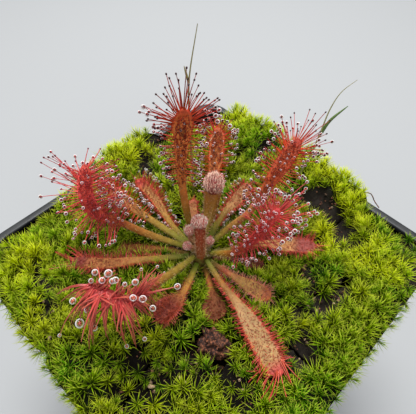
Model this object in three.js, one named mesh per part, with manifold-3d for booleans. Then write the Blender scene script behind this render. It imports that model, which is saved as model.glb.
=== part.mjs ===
// A sundew in a square nursery pot: the pot, its potting mix, the moss on the mix, and the plant,
// each leaf a solid of its own with its tentacles grown into it.
// Millimetres, +Z up. The origin is the middle of the pot's underside.

import * as THREE from 'three';
import { mergeVertices } from 'three/addons/utils/BufferGeometryUtils.js';
import Module from 'manifold-3d';

const wasm = await Module();
wasm.setup();

// ---- driving dimensions ----

const POT = {
  top: 70, base: 50, height: 65, // outside widths over the rim and at the foot, and the height
  wall: 1.1, floor: 1.8, corner: 6,
  band: 4.5, step: 0.8, // the rim band and how far it stands out from the wall
  drainRadius: 3, drainPlace: 14,
};
const RIM = POT.height;
const GAP = 0.3; // between pieces that touch
const SLIVER = 0.004; // the shortest edge that a join may leave
const SOIL_TOP = -8; // the mix lies this far below the rim
const CROWN = { x: -1.3, y: -0.9, radius: 2.3, up: 1, down: -18 }; // up and down from the rim
const TIERS = [0.5, -0.8, -2.1, -3.4]; // where leaves leave the crown, youngest first
const PETIOLE = { thick: 0.9, rootWidth: 1.1 };
// A blade's thickness, how much its edges turn up, where its tip starts to round off as a share of
// the leaf, and how far apart the stops of its skin are.
const BLADE = { thick: 0.75, cup: 0.12, tipFrom: 0.86, step: 3 };
// A tentacle's radius at its root and under its drop, the drop's radius, and how deep the root is
// sunk. Rows of tentacles stand this far apart, and those at the edges lean this far from upright.
const TENTACLE = { root: 0.2, neck: 0.13, drop: 0.45, sunk: 0.35, rows: 2, lean: 84, fan: 11 };
const MOSS = {
  rings: 5, gap: 0.6, bottom: SOIL_TOP + GAP, // rings of points in each, and the gap between two
  tuft: 1.5, dome: 0.7, edgeDrop: 1.5, // how high tufts and a cushion's middle stand, and its edge lies
  inside: 31.6, overFront: 36, overRight: 34.8, overRim: 36, // how far out it goes
  overThick: 0.9, // the least that lies on the rim
};

// A leaf's route is in its own vertical plane: out from the crown's middle, across to the left, and
// up from the rim. The petiole widens into the blade from shoulder to full, as shares of its length,
// and roll turns the blade about its midrib.
// Dewy leaves hold drops on long tentacles; on old ones the tentacles are short and dry. tipReach is
// the length of those at the tip, and tipTurn turns them towards the blade's underside.
const LEAVES = [
  { name: 'leaf_tall', tier: 0, heading: 165, petiole: 1.5, blade: 3.3, shoulder: 0.45, full: 0.92,
    roll: -20, route: [[4.7, 0, 4], [7.5, -0.5, 13], [7.8, -1, 21.5], [7.5, -2, 31]],
    dew: 1, reach: 7, tipReach: 9, tipTurn: 25 },
  { name: 'leaf_back_tall', tier: 0, heading: 70, petiole: 1.4, blade: 3.1, shoulder: 0.45, roll: 25,
    route: [[5.9, 0, 3.5], [10.5, -0.8, 8.5], [16, 1, 14], [23.4, 4.6, 18]],
    dew: 1, reach: 5.8, tipReach: 7 },
  { name: 'leaf_right_arched', tier: 0, heading: 15, petiole: 1.3, blade: 2.6, shoulder: 0.35, roll: 60,
    route: [[8, 0, 6], [10.9, 2.3, 11], [11.9, 4.6, 14], [12.7, 6.8, 15.5]], dew: 1, reach: 5 },
  { name: 'leaf_front_arched', tier: 0, heading: 283, petiole: 1.4, blade: 2.8, shoulder: 0.45, roll: -45,
    route: [[10.5, 0, 6], [16, 0, 11], [20, 0, 14], [21, -2.8, 15], [21, -7, 13.5]],
    dew: 1, reach: 6.5, tipReach: 7.5 },
  { name: 'leaf_left_arched', tier: 0, heading: 223, petiole: 1.4, blade: 3.0, shoulder: 0.5, roll: -45,
    route: [[10, 0, 5], [15.2, 0.3, 10], [18.4, 1, 13.5], [19.9, -0.7, 17], [20.7, -5.9, 19]],
    dew: 1, reach: 7.5, tipReach: 8.5 },
  { name: 'leaf_back_broad', tier: 2, heading: 127, petiole: 1.4, blade: 3.6, shoulder: 0.4,
    route: [[6.7, 0, 0], [15.3, -0.2, 2.5], [20.8, -0.3, 5], [27.5, 0, 9]],
    dew: 0.8, reach: 3.6, tipReach: 4.5 },
  { name: 'leaf_left_raised', tier: 1, heading: 198, petiole: 1.5, blade: 2.7, shoulder: 0.5,
    route: [[9.7, 0, 2], [15.4, 0.3, 5], [22.2, -0.7, 7.5]], dew: 0.7, reach: 3.6 },
  { name: 'leaf_left_coiled', tier: 2, heading: 183, petiole: 1.4, blade: 2.6, shoulder: 0.4,
    route: [[8.4, 0, 0], [14.6, -1, 3], [20.5, -1.1, 5]], dew: 0.5, reach: 2.8 },
  { name: 'leaf_back_short', tier: 1, heading: 101, petiole: 1.3, blade: 3.2, shoulder: 0.4,
    route: [[8.3, 0, 2], [12.4, -0.9, 4], [16.4, -1.9, 6]], dew: 0.5, reach: 2.4 },
  { name: 'leaf_right_long', tier: 1, heading: 344, petiole: 1.3, blade: 4.6, shoulder: 0.3,
    route: [[8.8, 0, 0], [14.6, 0.4, 1], [20.2, 0.4, 1.3], [28.7, 0.3, 0.5]],
    dew: 0, reach: 2, tipReach: 6 },
  { name: 'leaf_front_low', tier: 2, heading: 237, petiole: 1.5, blade: 2.9, shoulder: 0.35,
    route: [[8.7, 0, -1], [13.1, 0, 0], [20, -0.3, 0.5], [27, -2.7, 0]],
    dew: 0, reach: 1.8, tipReach: 3 },
  { name: 'leaf_back_low', tier: 2, heading: 54, petiole: 1.2, blade: 3.8, shoulder: 0.4,
    route: [[7.8, 0, -2], [13.4, -0.2, -1], [19.1, -1.9, -0.4], [24.2, -3.4, 0]], dew: 0, reach: 1.5 },
  { name: 'leaf_right_low', tier: 2, heading: 4, petiole: 1.2, blade: 3.3, shoulder: 0.35,
    route: [[4.5, 0, -2], [10.2, 0.2, -1], [17.5, 1, -0.5]], dew: 0, reach: 1.5 },
  { name: 'leaf_front_folded', tier: 2, heading: 297, petiole: 1.3, blade: 4.5, shoulder: 0.5,
    route: [[8.4, 0, -0.6], [12.2, -0.4, 0.2], [17.3, -2.4, 0]], dew: 0, reach: 1.6 },
  { name: 'leaf_front_withered', tier: 3, heading: 333, petiole: 1.1, blade: 4.0, shoulder: 0.4,
    route: [[5.3, 0, -3.2], [9.6, -0.5, -3], [14.6, -1.3, -2.5]], dew: 0, reach: 1 },
  { name: 'leaf_back_withered', tier: 3, heading: 38, petiole: 1.0, blade: 2.4, shoulder: 0.4,
    route: [[8.6, 0, -3.4], [13.8, -0.7, -3.4]], dew: 0, reach: 0.9 },
  { name: 'leaf_left_withered', tier: 3, heading: 215, petiole: 1.1, blade: 2.4, shoulder: 0.4,
    route: [[9.1, 0, -3], [18.1, 2.3, -2.2]], dew: 0, reach: 1 },
  { name: 'leaf_left_small', tier: 3, heading: 146, petiole: 1.0, blade: 2.0, shoulder: 0.4,
    route: [[9, 0, -0.6], [12, -0.4, 1.6]], dew: 0, reach: 1.2 },
];

// Young leaves stand in the heart, each a stalk under a coiled, furred head. Places are from the
// crown's middle and up from the rim. stalk gives its half width at the foot and at the top, and flat
// how much thinner than wide it is by then. head gives the coil's half sizes along, across and deep.
const YOUNG_LEAVES = [
  { name: 'young_leaf_1', foot: [-0.9, 1.3, 1.4], bend: [-2.5, 5.2, 6], top: [-3.6, 7.2, 10],
    stalk: [0.65, 1.8], flat: 0.5, head: [2.4, 2, 1.9], hairs: 24 },
  { name: 'young_leaf_2', foot: [1.3, -1.2, 1.4], bend: [1.1, -1, 5], top: [-0.1, 0.1, 8.6],
    stalk: [0.9, 1.1], flat: 0, head: [1.5, 1.7, 1.4], hairs: 15 },
  { name: 'young_leaf_3', foot: [-1.2, -0.6, 1.4], bend: [-2, -0.8, 2.6], top: [-2.5, -0.5, 3.6],
    stalk: [0.45, 0.5], flat: 0, head: [1.25, 1.2, 1.15], hairs: 8 },
  { name: 'young_leaf_4', foot: [-0.6, -1.6, 1.4], bend: [-0.8, -1.8, 1.8], top: [-1, -2.1, 2.2],
    stalk: [0.4, 0.4], flat: 0, head: [1, 1, 0.95], hairs: 6 },
  { name: 'young_leaf_5', foot: [1, 1.3, 1.4], bend: [1.05, 1.4, 1.8], top: [1.1, 1.5, 2.2],
    stalk: [0.4, 0.4], flat: 0, head: [0.95, 0.9, 0.9], hairs: 6 },
];
const STALK_SIDE = new THREE.Vector3(0.694, 0.72, 0); // the way the flat stalks are wide

// Moss cushions, by their middles. over names the sides of the pot where a cushion hangs over the
// rim: left is -X, right is +X, front is -Y and back is +Y.
const CUSHIONS = [
  { name: 'moss_left', x: -30, y: 2, over: ['left'] },
  { name: 'moss_left_front', x: -28, y: -24, over: ['front'] },
  { name: 'moss_left_inner', x: -20, y: -10, over: [] },
  { name: 'moss_front_1', x: -13, y: -30, over: ['front'] },
  { name: 'moss_front_2', x: 3, y: -31, over: ['front'] },
  { name: 'moss_front_3', x: 17, y: -26, over: ['front'] },
  { name: 'moss_right_front', x: 29, y: -28, over: ['front', 'right'] },
  { name: 'moss_front_inner', x: -1, y: -16, over: [] },
  { name: 'moss_right_1', x: 28, y: -11, over: ['right'] },
  { name: 'moss_right_inner', x: 10, y: -5, over: [] },
  { name: 'moss_right_2', x: 28, y: 6, over: ['right'] },
  { name: 'moss_right_back_inner', x: 15, y: 13, over: [] },
  { name: 'moss_right_back', x: 25, y: 26, over: ['right'] },
  { name: 'moss_back_1', x: 6, y: 32, over: ['back'] },
  { name: 'moss_back_2', x: -13, y: 31, over: ['back'] },
  { name: 'moss_left_back_inner', x: -18, y: 15, over: [] },
  { name: 'moss_back_inner', x: -3, y: 12, over: [] },
];
// Swells of the moss: place, height and width of each.
const SWELLS = [
  { x: -33, y: 3, up: 3.6, wide: 9 }, { x: -14, y: 35, up: 3, wide: 9 },
  { x: 6, y: 35, up: 2.6, wide: 9 }, { x: 28, y: 26, up: 1, wide: 9 },
];
const BARK = { x: 14.2, y: -12.2, size: [3.3, 2.9, 3.8], cell: 3.9 };

const GRASSES = [
  { name: 'grass_right', blades: [
    { width: 0.9, points: [[2, 26.6, -11], [2.1, 26.8, -1], [2.5, 27.4, 5], [2.7, 29.4, 10],
      [2.3, 31.2, 14], [1.9, 33.2, 19], [2.4, 34.6, 22.5], [3.8, 36.5, 25]] },
    { width: 1.0, points: [[2.4, 31, 13], [2.6, 33.2, 16], [3.7, 37, 18.4]] },
    { width: 0.8, points: [[2.6, 28.4, 8], [4.6, 29.6, 9], [7, 31, 9.6]] },
  ] },
  { name: 'grass_back', blades: [
    { width: 0.8, points: [[-13.4, 8, -11], [-12.6, 7.8, 8], [-10.6, 6.2, 27], [-9.8, 6, 34],
      [-8, 6.4, 43]] },
    { width: 0.7, points: [[-10, 6, 33], [-10.4, 5.6, 36]] },
  ] },
];

const COLOURS = {
  pot: 0x232527, soil: 0x2b211a, crown: 0x7a6a34, young: 0xa9544a, tall: 0xa03a26, dewy: 0xb4402f,
  old: 0xc47a4a, withered: 0x5b3325, moss: 0x7fa51e, grass: 0x93a05a, bark: 0x4a3428,
};

// ---- joining and building ----

// A small seeded generator, so that each run grows the same plant.
function randomFrom(seed) {
  let state = seed >>> 0;
  return () => {
    state = (state + 0x6d2b79f5) >>> 0;
    let t = Math.imul(state ^ (state >>> 15), 1 | state);
    t = (t + Math.imul(t ^ (t >>> 7), 61 | t)) ^ t;
    return ((t ^ (t >>> 14)) >>> 0) / 4294967296;
  };
}

function solidFrom(geometry) {
  const bare = geometry.clone();
  bare.deleteAttribute('normal');
  bare.deleteAttribute('uv');
  const merged = mergeVertices(bare, 1e-4);
  return new wasm.Manifold(new wasm.Mesh({
    numProp: 3,
    vertProperties: new Float32Array(merged.attributes.position.array),
    triVerts: new Uint32Array(merged.index.array),
  }));
}

function geometryFrom(solid) {
  const mesh = solid.getMesh();
  const places = [];
  for (let i = 0; i < mesh.vertProperties.length; i += mesh.numProp) {
    places.push(...mesh.vertProperties.slice(i, i + 3));
  }
  const geometry = new THREE.BufferGeometry();
  geometry.setAttribute('position', new THREE.Float32BufferAttribute(places, 3));
  geometry.setIndex([...mesh.triVerts]);
  return geometry;
}

function shortestEdge(solid) {
  const { vertProperties: places, triVerts, numProp } = solid.getMesh();
  const apart = (a, b) => Math.hypot(...[0, 1, 2].map(
    (axis) => places[a * numProp + axis] - places[b * numProp + axis]));
  let shortest = Infinity;
  for (let i = 0; i < triVerts.length; i += 3) {
    const [a, b, c] = triVerts.slice(i, i + 3);
    shortest = Math.min(shortest, apart(a, b), apart(b, c), apart(c, a));
  }
  return shortest;
}

// Two solids joined, or null where they would meet in a sliver too fine to write down.
function cleanJoin(solid, other) {
  const joined = solid.add(other);
  const allowed = Math.min(SLIVER, shortestEdge(solid));
  return shortestEdge(joined) < allowed ? null : joined;
}

// The largest body of a solid: a join or a cut may leave scraps beside it.
function mainBody(solid) {
  return solid.decompose().sort((a, b) => b.volume() - a.volume())[0];
}

// A closed skin over rings of points, with the same number in each, wound to the left about the
// way the rings run. Each end closes on a point in the middle of its ring.
function loft(rings) {
  const count = rings[0].length;
  const places = rings.flat();
  const faces = [];
  for (let r = 0; r + 1 < rings.length; r += 1) {
    for (let i = 0; i < count; i += 1) {
      const a = r * count + i;
      const b = r * count + ((i + 1) % count);
      faces.push(a, b, b + count, a, b + count, a + count);
    }
  }
  const last = (rings.length - 1) * count;
  for (let i = 1; i + 1 < count; i += 1) {
    faces.push(0, i + 1, i, last, last + i, last + i + 1);
  }
  const geometry = new THREE.BufferGeometry().setFromPoints(places);
  geometry.setIndex(faces);
  return geometry;
}

function named(name, geometry, colour, roughness) {
  const material = new THREE.MeshStandardMaterial({ color: colour, roughness, metalness: 0 });
  const mesh = new THREE.Mesh(geometry, material);
  mesh.name = name;
  return mesh;
}

// ---- pot ----

// A square with round corners, level at height z.
function squareRing(half, corner, z, steps = 4) {
  const ring = [];
  for (let quarter = 0; quarter < 4; quarter += 1) {
    const middle = (quarter * Math.PI) / 2 + Math.PI / 4;
    const cx = Math.sign(Math.cos(middle)) * (half - corner);
    const cy = Math.sign(Math.sin(middle)) * (half - corner);
    for (let i = 0; i <= steps; i += 1) {
      const angle = (quarter + i / steps) * (Math.PI / 2);
      ring.push(new THREE.Vector3(cx + corner * Math.cos(angle), cy + corner * Math.sin(angle), z));
    }
  }
  return ring;
}

// Half the pot's outside width at height z, under the rim band.
function potHalf(z) {
  const under = POT.top / 2 - POT.step;
  return POT.base / 2 + (under - POT.base / 2) * (z / POT.height);
}

function makePot() {
  const { corner, wall, band, floor } = POT;
  const half = POT.top / 2;
  const lipRound = 0.25;
  const outside = [
    squareRing(potHalf(0), corner, 0),
    squareRing(potHalf(RIM - band - 0.6), corner, RIM - band - 0.6),
    squareRing(half - 0.1, corner, RIM - band),
    squareRing(half, corner, RIM - lipRound),
    squareRing(half - lipRound, corner - lipRound, RIM),
  ];
  const innerTop = half - POT.step - wall;
  const inside = [
    squareRing(potHalf(floor) - wall, corner - wall, floor),
    squareRing(innerTop, corner - wall, RIM + 1),
  ];
  let pot = solidFrom(loft(outside)).subtract(solidFrom(loft(inside)));
  for (const [sx, sy] of [[1, 1], [-1, 1], [-1, -1], [1, -1]]) {
    const drain = new THREE.CylinderGeometry(POT.drainRadius, POT.drainRadius, 8, 12);
    drain.rotateX(Math.PI / 2);
    drain.translate(sx * POT.drainPlace, sy * POT.drainPlace, 0);
    pot = pot.subtract(solidFrom(drain));
  }
  return pot;
}

// ---- leaves ----

const towards = (degrees) => new THREE.Vector3(
  Math.cos(THREE.MathUtils.degToRad(degrees)), Math.sin(THREE.MathUtils.degToRad(degrees)), 0);
const crownMiddle = new THREE.Vector3(CROWN.x, CROWN.y, RIM);
const smooth = (t) => THREE.MathUtils.smoothstep(t, 0, 1);
const STATIONS = 60; // along each midrib

// Points along a leaf's midrib, each with its own axes: along, left and the upper face's normal.
function midrib(leaf) {
  const out = towards(leaf.heading);
  const left = towards(leaf.heading + 90);
  const root = CROWN.radius + GAP;
  const points = [[root, 0, TIERS[leaf.tier]], ...leaf.route].map(([o, a, u]) => crownMiddle.clone()
    .addScaledVector(out, o).addScaledVector(left, a).add(new THREE.Vector3(0, 0, u)));
  const curve = new THREE.CatmullRomCurve3(points, false, 'centripetal');
  const length = curve.getLength();
  const side = left.clone();
  const at = (u) => {
    const along = curve.getTangentAt(u);
    side.addScaledVector(along, -side.dot(along)).normalize();
    return { place: curve.getPointAt(u), along, left: side.clone(), up: along.clone().cross(side) };
  };
  const frames = Array.from({ length: STATIONS + 1 }, (_, i) => {
    const frame = at(i / STATIONS);
    const roll = THREE.MathUtils.degToRad(leaf.roll ?? 0) * smooth(i / STATIONS / leaf.shoulder);
    frame.left.applyAxisAngle(frame.along, roll);
    frame.up.applyAxisAngle(frame.along, roll);
    return frame;
  });
  const frameAt = (u) => frames[Math.round(THREE.MathUtils.clamp(u, 0, 1) * STATIONS)];
  return { length, frameAt };
}

// How far the petiole has widened into the blade at u.
const spread = (leaf, u) => smooth((u - leaf.shoulder) / ((leaf.full ?? 0.8) - leaf.shoulder));

// Half the width of a leaf at u, from 0 at the crown to 1 at the tip.
function halfWidth(leaf, u) {
  const rooted = THREE.MathUtils.lerp(PETIOLE.rootWidth, leaf.petiole, smooth(u / 0.25));
  const grown = spread(leaf, u);
  const wide = THREE.MathUtils.lerp(rooted, leaf.blade, grown);
  const tip = Math.max(0, (u - BLADE.tipFrom) / (1 - BLADE.tipFrom));
  const roundness = Math.sqrt(Math.max(0.06, 1 - tip * tip));
  return 0.5 * wide * roundness;
}

function leafBody(leaf, rib) {
  const inner = Math.max(4, Math.round((rib.length * BLADE.tipFrom) / BLADE.step));
  const stops = Array.from({ length: inner + 1 }, (_, i) => (BLADE.tipFrom * i) / inner);
  stops.push((BLADE.tipFrom + 1.02) / 2, 1);
  return loft(stops.map((u) => {
    const { place, left, up } = rib.frameAt(u);
    const half = halfWidth(leaf, u);
    const grown = spread(leaf, u);
    const thick = 0.5 * THREE.MathUtils.lerp(PETIOLE.thick, BLADE.thick, grown);
    const edge = BLADE.cup * half * grown;
    return [[1, edge + thick], [-1, edge + thick], [-1, edge - thick], [1, edge - thick]]
      .map(([a, b]) => place.clone().addScaledVector(left, a * half).addScaledVector(up, b));
  }));
}

// A three-sided stalk from root towards way, with a drop at its end if it is dewy.
function tentacle({ root, way, length, dewy }) {
  const { sunk, neck, drop } = TENTACLE;
  const profile = dewy
    ? [[0, -sunk], [TENTACLE.root, -sunk], [neck, length - 2 * drop], [drop * 1.15, length - drop],
      [0, length]]
    : [[0, -sunk], [TENTACLE.root * 1.2, -sunk], [0, length]];
  const stalk = new THREE.LatheGeometry(profile.map(([r, z]) => new THREE.Vector2(r, z)), 3);
  stalk.applyQuaternion(new THREE.Quaternion().setFromUnitVectors(new THREE.Vector3(0, 1, 0), way));
  return stalk.translate(root.x, root.y, root.z);
}

// Where tentacles may stand on a blade: rows along it, edges first, and a fan at the tip. A site is
// a place along the leaf, a share of the half width, and the tentacle's length and its lean
// sideways and forward in degrees.
function tentacleSites(leaf, rib, random) {
  const sites = [];
  const dewy = leaf.dew > 0;
  const vary = (amount) => 1 + amount * (random() - 0.5);
  const step = (dewy ? TENTACLE.rows / leaf.dew : TENTACLE.rows) / rib.length;
  const start = leaf.shoulder + (dewy ? 0.1 : 0.04);
  for (let along = start, row = 0; along < 0.93; along += step, row += 1) {
    const late = dewy ? THREE.MathUtils.lerp(0.75, 1.2, (along - start) / (1 - start)) : 1;
    const forward = THREE.MathUtils.lerp(-8, 50, smooth((along - 0.6) / 0.4));
    for (const side of [-1, 1]) {
      sites.push({ along: along + (random() - 0.5) * step * 0.5, across: side,
        lean: side * TENTACLE.lean * vary(0.5), forward: forward + 16 * (random() - 0.5),
        length: leaf.reach * 0.66 * late * vary(0.3) });
    }
    if (row % 3 === 1) continue;
    const side = row % 2 ? 1 : -1;
    sites.push({ along: along + step / 2, across: 0.4 * side, lean: 32 * side * vary(0.6), forward,
      length: leaf.reach * 0.5 * late * vary(0.3) });
  }
  const fan = dewy ? Math.round(TENTACLE.fan * leaf.dew) : 6;
  const tipReach = leaf.tipReach ?? leaf.reach;
  for (let i = 0; i < fan; i += 1) {
    const across = (i / (fan - 1)) * 2 - 1;
    const upright = dewy && i % 2 === 1;
    sites.push({ along: 0.96, across: 0.7 * across, lean: across * (upright ? 40 : TENTACLE.lean),
      forward: 80 + (leaf.tipTurn ?? 0) - 42 * Math.abs(across),
      length: tipReach * 0.92 * vary(0.25) });
  }
  return sites.map((site) => ({ ...site, dewy }));
}

// The tentacle at a site, turned up by raise and cut to a share of its length.
function tentacleFrom(site, leaf, rib, raise, share) {
  const { place, along, left, up } = rib.frameAt(site.along);
  const lean = THREE.MathUtils.degToRad(site.lean);
  const forward = THREE.MathUtils.degToRad(site.forward);
  const way = up.clone().multiplyScalar(Math.cos(lean)).addScaledVector(left, Math.sin(lean))
    .multiplyScalar(Math.cos(forward)).addScaledVector(along, Math.sin(forward));
  way.add(new THREE.Vector3(0, 0, raise)).normalize();
  const root = place.clone().addScaledVector(left, site.across * halfWidth(leaf, site.along) * 0.8);
  return { root, way, length: site.length * share, dewy: site.dewy };
}

// ---- room: what is already there, as small balls, so that nothing new crosses it ----

const taken = [];

function claim(owner, place, radius) {
  taken.push({ owner, place, radius });
}

function isFree(owner, place, radius) {
  return taken.every((ball) => ball.owner === owner
    || ball.place.distanceTo(place) > ball.radius + radius + GAP);
}

function claimLeaf(leaf, rib) {
  for (let i = 0; i <= 40; i += 1) {
    const { place, left } = rib.frameAt(i / 40);
    const half = halfWidth(leaf, i / 40);
    for (const a of [-0.8, -0.4, 0, 0.4, 0.8]) {
      claim(leaf.name, place.clone().addScaledVector(left, a * half), 0.5);
    }
  }
}

function ballsAlong({ root, way, length, dewy }) {
  const balls = [0.2, 0.4, 0.6, 0.8].map((t) => ({
    place: root.clone().addScaledVector(way, t * length), radius: TENTACLE.root }));
  balls.push({ place: root.clone().addScaledVector(way, length - (dewy ? TENTACLE.drop : 0.1)),
    radius: dewy ? TENTACLE.drop * 1.15 : 0.15 });
  return balls;
}

// ---- moss surface ----

const leafRibs = LEAVES.map((leaf) => ({ leaf, rib: midrib(leaf) }));

// Rows of places under each leaf: the moss stays below them.
const shades = leafRibs.flatMap(({ leaf, rib }) => Array.from({ length: 31 }, (_, i) => {
  const u = i / 30;
  const { place } = rib.frameAt(u);
  return { x: place.x, y: place.y, z: place.z - RIM, half: halfWidth(leaf, u) };
}));

function mossCeiling(x, y) {
  let lowest = 9;
  for (const shade of shades) {
    const aside = Math.max(0, Math.hypot(x - shade.x, y - shade.y) - shade.half - 1.1);
    const under = shade.z - 1;
    lowest = Math.min(lowest, under + 0.7 * aside);
  }
  return lowest;
}

// The moss's height from the rim, without its tufts. It dips at the crown and swells at the rim.
function mossHeight(x, y) {
  const fromCrown = Math.hypot(x - CROWN.x, y - CROWN.y);
  let height = -1.3 - 3.4 * Math.exp(-((fromCrown / 8) ** 2));
  height += 2.9 * smooth((-y - 24) / 8) + 1.4 * smooth((x - 24) / 7);
  for (const swell of SWELLS) {
    const apart = Math.hypot(x - swell.x, y - swell.y) / swell.wide;
    height += swell.up * Math.exp(-apart * apart);
  }
  return height;
}

const mossTop = (x, y) => Math.min(mossHeight(x, y) + MOSS.dome + MOSS.tuft, mossCeiling(x, y));

// ---- growing the leaves ----

const random = randomFrom(11);

function tubePoints(points, sides, radiusAt, stops) {
  const curve = new THREE.CatmullRomCurve3(points);
  const frames = curve.computeFrenetFrames(stops, false);
  return Array.from({ length: stops + 1 }, (_, s) => {
    const place = curve.getPointAt(s / stops);
    return Array.from({ length: sides }, (_unused, i) => {
      const angle = (i * 2 * Math.PI) / sides;
      return place.clone()
        .addScaledVector(frames.normals[s], radiusAt(s / stops) * Math.cos(angle))
        .addScaledVector(frames.binormals[s], radiusAt(s / stops) * Math.sin(angle));
    });
  });
}

function fromCrown([x, y, up]) {
  return crownMiddle.clone().add(new THREE.Vector3(x, y, up));
}

function youngStalk(young, points, sides = 6, stops = 5) {
  const curve = new THREE.CatmullRomCurve3(points);
  return loft(Array.from({ length: stops + 1 }, (_, s) => {
    const share = s / stops;
    const along = curve.getTangentAt(share);
    const side = STALK_SIDE.clone().addScaledVector(along, -STALK_SIDE.dot(along)).normalize();
    const deep = along.clone().cross(side);
    const half = young.stalk[0] + (young.stalk[1] - young.stalk[0]) * share;
    return Array.from({ length: sides }, (_unused, i) => {
      const angle = (i * 2 * Math.PI) / sides;
      return curve.getPointAt(share)
        .addScaledVector(side, half * Math.cos(angle))
        .addScaledVector(deep, half * (1 - young.flat * share) * Math.sin(angle));
    });
  }));
}

function makeYoungLeaf(young) {
  const [x, y, up] = young.foot;
  const points = [young.foot, [x, y, up + 0.6], young.bend, young.top].map(fromCrown);
  const top = points[3];
  const lean = top.clone().sub(points[2]).normalize();
  const turn = new THREE.Quaternion().setFromUnitVectors(new THREE.Vector3(1, 0, 0), lean);
  let solid = solidFrom(youngStalk(young, points));
  const head = new THREE.IcosahedronGeometry(1, young.head[0] > 1 ? 1 : 0);
  head.scale(...young.head).applyQuaternion(turn);
  const middle = top.clone().addScaledVector(lean, young.head[0] * 0.5);
  head.translate(middle.x, middle.y, middle.z);
  solid = solid.add(solidFrom(head));
  for (let i = 0; i < young.hairs; i += 1) {
    // Even steps of the golden angle spread the hairs over the head.
    const height = 1 - (1.75 * (i + 0.5)) / young.hairs;
    const angle = i * Math.PI * (3 - Math.sqrt(5));
    const flat = Math.sqrt(1 - height * height);
    const way = new THREE.Vector3(height, flat * Math.cos(angle), flat * Math.sin(angle));
    const root = way.clone().multiply(new THREE.Vector3(...young.head)).multiplyScalar(0.85)
      .applyQuaternion(turn).add(middle);
    way.applyQuaternion(turn);
    const hair = tentacle({ root, way, length: 0.9, dewy: false });
    solid = cleanJoin(solid, solidFrom(hair)) ?? solid;
  }
  return { solid, points, middle };
}

const youngLeaves = YOUNG_LEAVES.map((young) => {
  const grown = makeYoungLeaf(young);
  const curve = new THREE.CatmullRomCurve3(grown.points);
  for (let i = 0; i <= 8; i += 1) claim(young.name, curve.getPointAt(i / 8), young.stalk[1]);
  claim(young.name, grown.middle, Math.max(...young.head) + 0.6);
  return { young, ...grown };
});

function makeGrassBlade(blade) {
  const points = blade.points.map(([x, y, up]) => new THREE.Vector3(x, y, RIM + up));
  const radius = (t) => 0.5 * blade.width * (1 - 0.72 * t * t);
  return { points, geometry: loft(tubePoints(points, 4, radius, 2 * points.length)) };
}

const grasses = GRASSES.map(({ name, blades }) => {
  const parts = blades.map(makeGrassBlade);
  for (const { points } of parts) {
    const curve = new THREE.CatmullRomCurve3(points);
    for (let i = 0; i <= 40; i += 1) claim(name, curve.getPointAt(i / 40), 0.5);
  }
  const solid = parts.map((part) => solidFrom(part.geometry)).reduce((a, b) => a.add(b));
  return { name, solid, foot: parts[0].points[0] };
});

for (const { leaf, rib } of leafRibs) claimLeaf(leaf, rib);

function growLeaf({ leaf, rib }) {
  let solid = solidFrom(leafBody(leaf, rib));
  for (const site of tentacleSites(leaf, rib, random)) {
    // A tentacle in the way of something stands more upright or stays shorter, or isn't there.
    const tries = [[0, 1], [0.35, 1], [0.8, 1], [0.35, 0.75], [0.8, 0.7], [1.6, 0.6]];
    for (const [raise, share] of tries) {
      const grown = tentacleFrom(site, leaf, rib, raise, share);
      const balls = ballsAlong(grown);
      const clear = balls.every(({ place, radius }) => isFree(leaf.name, place, radius)
        && place.z - RIM - radius > mossTop(place.x, place.y) + GAP);
      if (!clear) continue;
      const joined = cleanJoin(solid, solidFrom(tentacle(grown)));
      if (!joined) continue;
      for (const { place, radius } of balls) claim(leaf.name, place, radius);
      solid = joined;
      break;
    }
  }
  return mainBody(solid);
}

const leafSolids = leafRibs.map((entry) => ({ leaf: entry.leaf, solid: growLeaf(entry) }));

// ---- crown, soil and bark ----

function makeCrown() {
  const profile = [
    [0, CROWN.down], [1.4, CROWN.down], [CROWN.radius, CROWN.down + 3],
    [CROWN.radius, CROWN.up - 0.4], [CROWN.radius - 0.4, CROWN.up], [0, CROWN.up + 0.1],
  ].map(([r, z]) => new THREE.Vector2(r, z));
  const lathe = new THREE.LatheGeometry(profile, 14);
  lathe.rotateX(Math.PI / 2).translate(CROWN.x, CROWN.y, RIM);
  return solidFrom(lathe);
}

function post(x, y, radius, from, to, sides = 10) {
  const cylinder = new THREE.CylinderGeometry(radius, radius, to - from, sides);
  cylinder.rotateX(Math.PI / 2).translate(x, y, RIM + (from + to) / 2);
  return solidFrom(cylinder);
}

const holes = [
  post(CROWN.x, CROWN.y, CROWN.radius + GAP + 0.2, CROWN.down - GAP, 9, 14),
  ...grasses.map(({ foot }) => post(foot.x, foot.y, 1.4, foot.z - RIM - GAP, 9, 8)),
];

function makeSoil() {
  const bottom = POT.floor + GAP;
  const top = RIM + SOIL_TOP;
  const half = (z) => potHalf(z) - POT.wall - GAP;
  let soil = solidFrom(loft([
    squareRing(half(bottom), POT.corner - POT.wall - GAP, bottom),
    squareRing(half(top), POT.corner - POT.wall - GAP, top),
  ]));
  for (const hole of holes) soil = soil.subtract(hole);
  return soil;
}

function makeBark() {
  const lump = new THREE.IcosahedronGeometry(1, 1);
  const places = lump.attributes.position;
  const point = new THREE.Vector3();
  const floor = SOIL_TOP + GAP;
  for (let i = 0; i < places.count; i += 1) {
    point.fromBufferAttribute(places, i);
    const rough = 1 + 0.12 * Math.sin(5 * point.x + 3 * point.y) + 0.1 * Math.cos(7 * point.z - point.y);
    point.multiplyScalar(rough).multiply(new THREE.Vector3(...BARK.size));
    point.z = Math.max(point.z, -0.9 * BARK.size[2]);
    places.setXYZ(i, point.x, point.y, point.z);
  }
  lump.translate(BARK.x, BARK.y, RIM + floor + 0.9 * BARK.size[2]);
  return solidFrom(lump);
}

// ---- moss ----

const lipLimit = solidFrom(loft([
  squareRing(60, 1, RIM - 30), squareRing(60, 1, RIM + GAP),
])).subtract(solidFrom(loft([
  squareRing(MOSS.inside, 5, RIM - 31), squareRing(MOSS.inside, 5, RIM + 1),
])));

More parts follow.
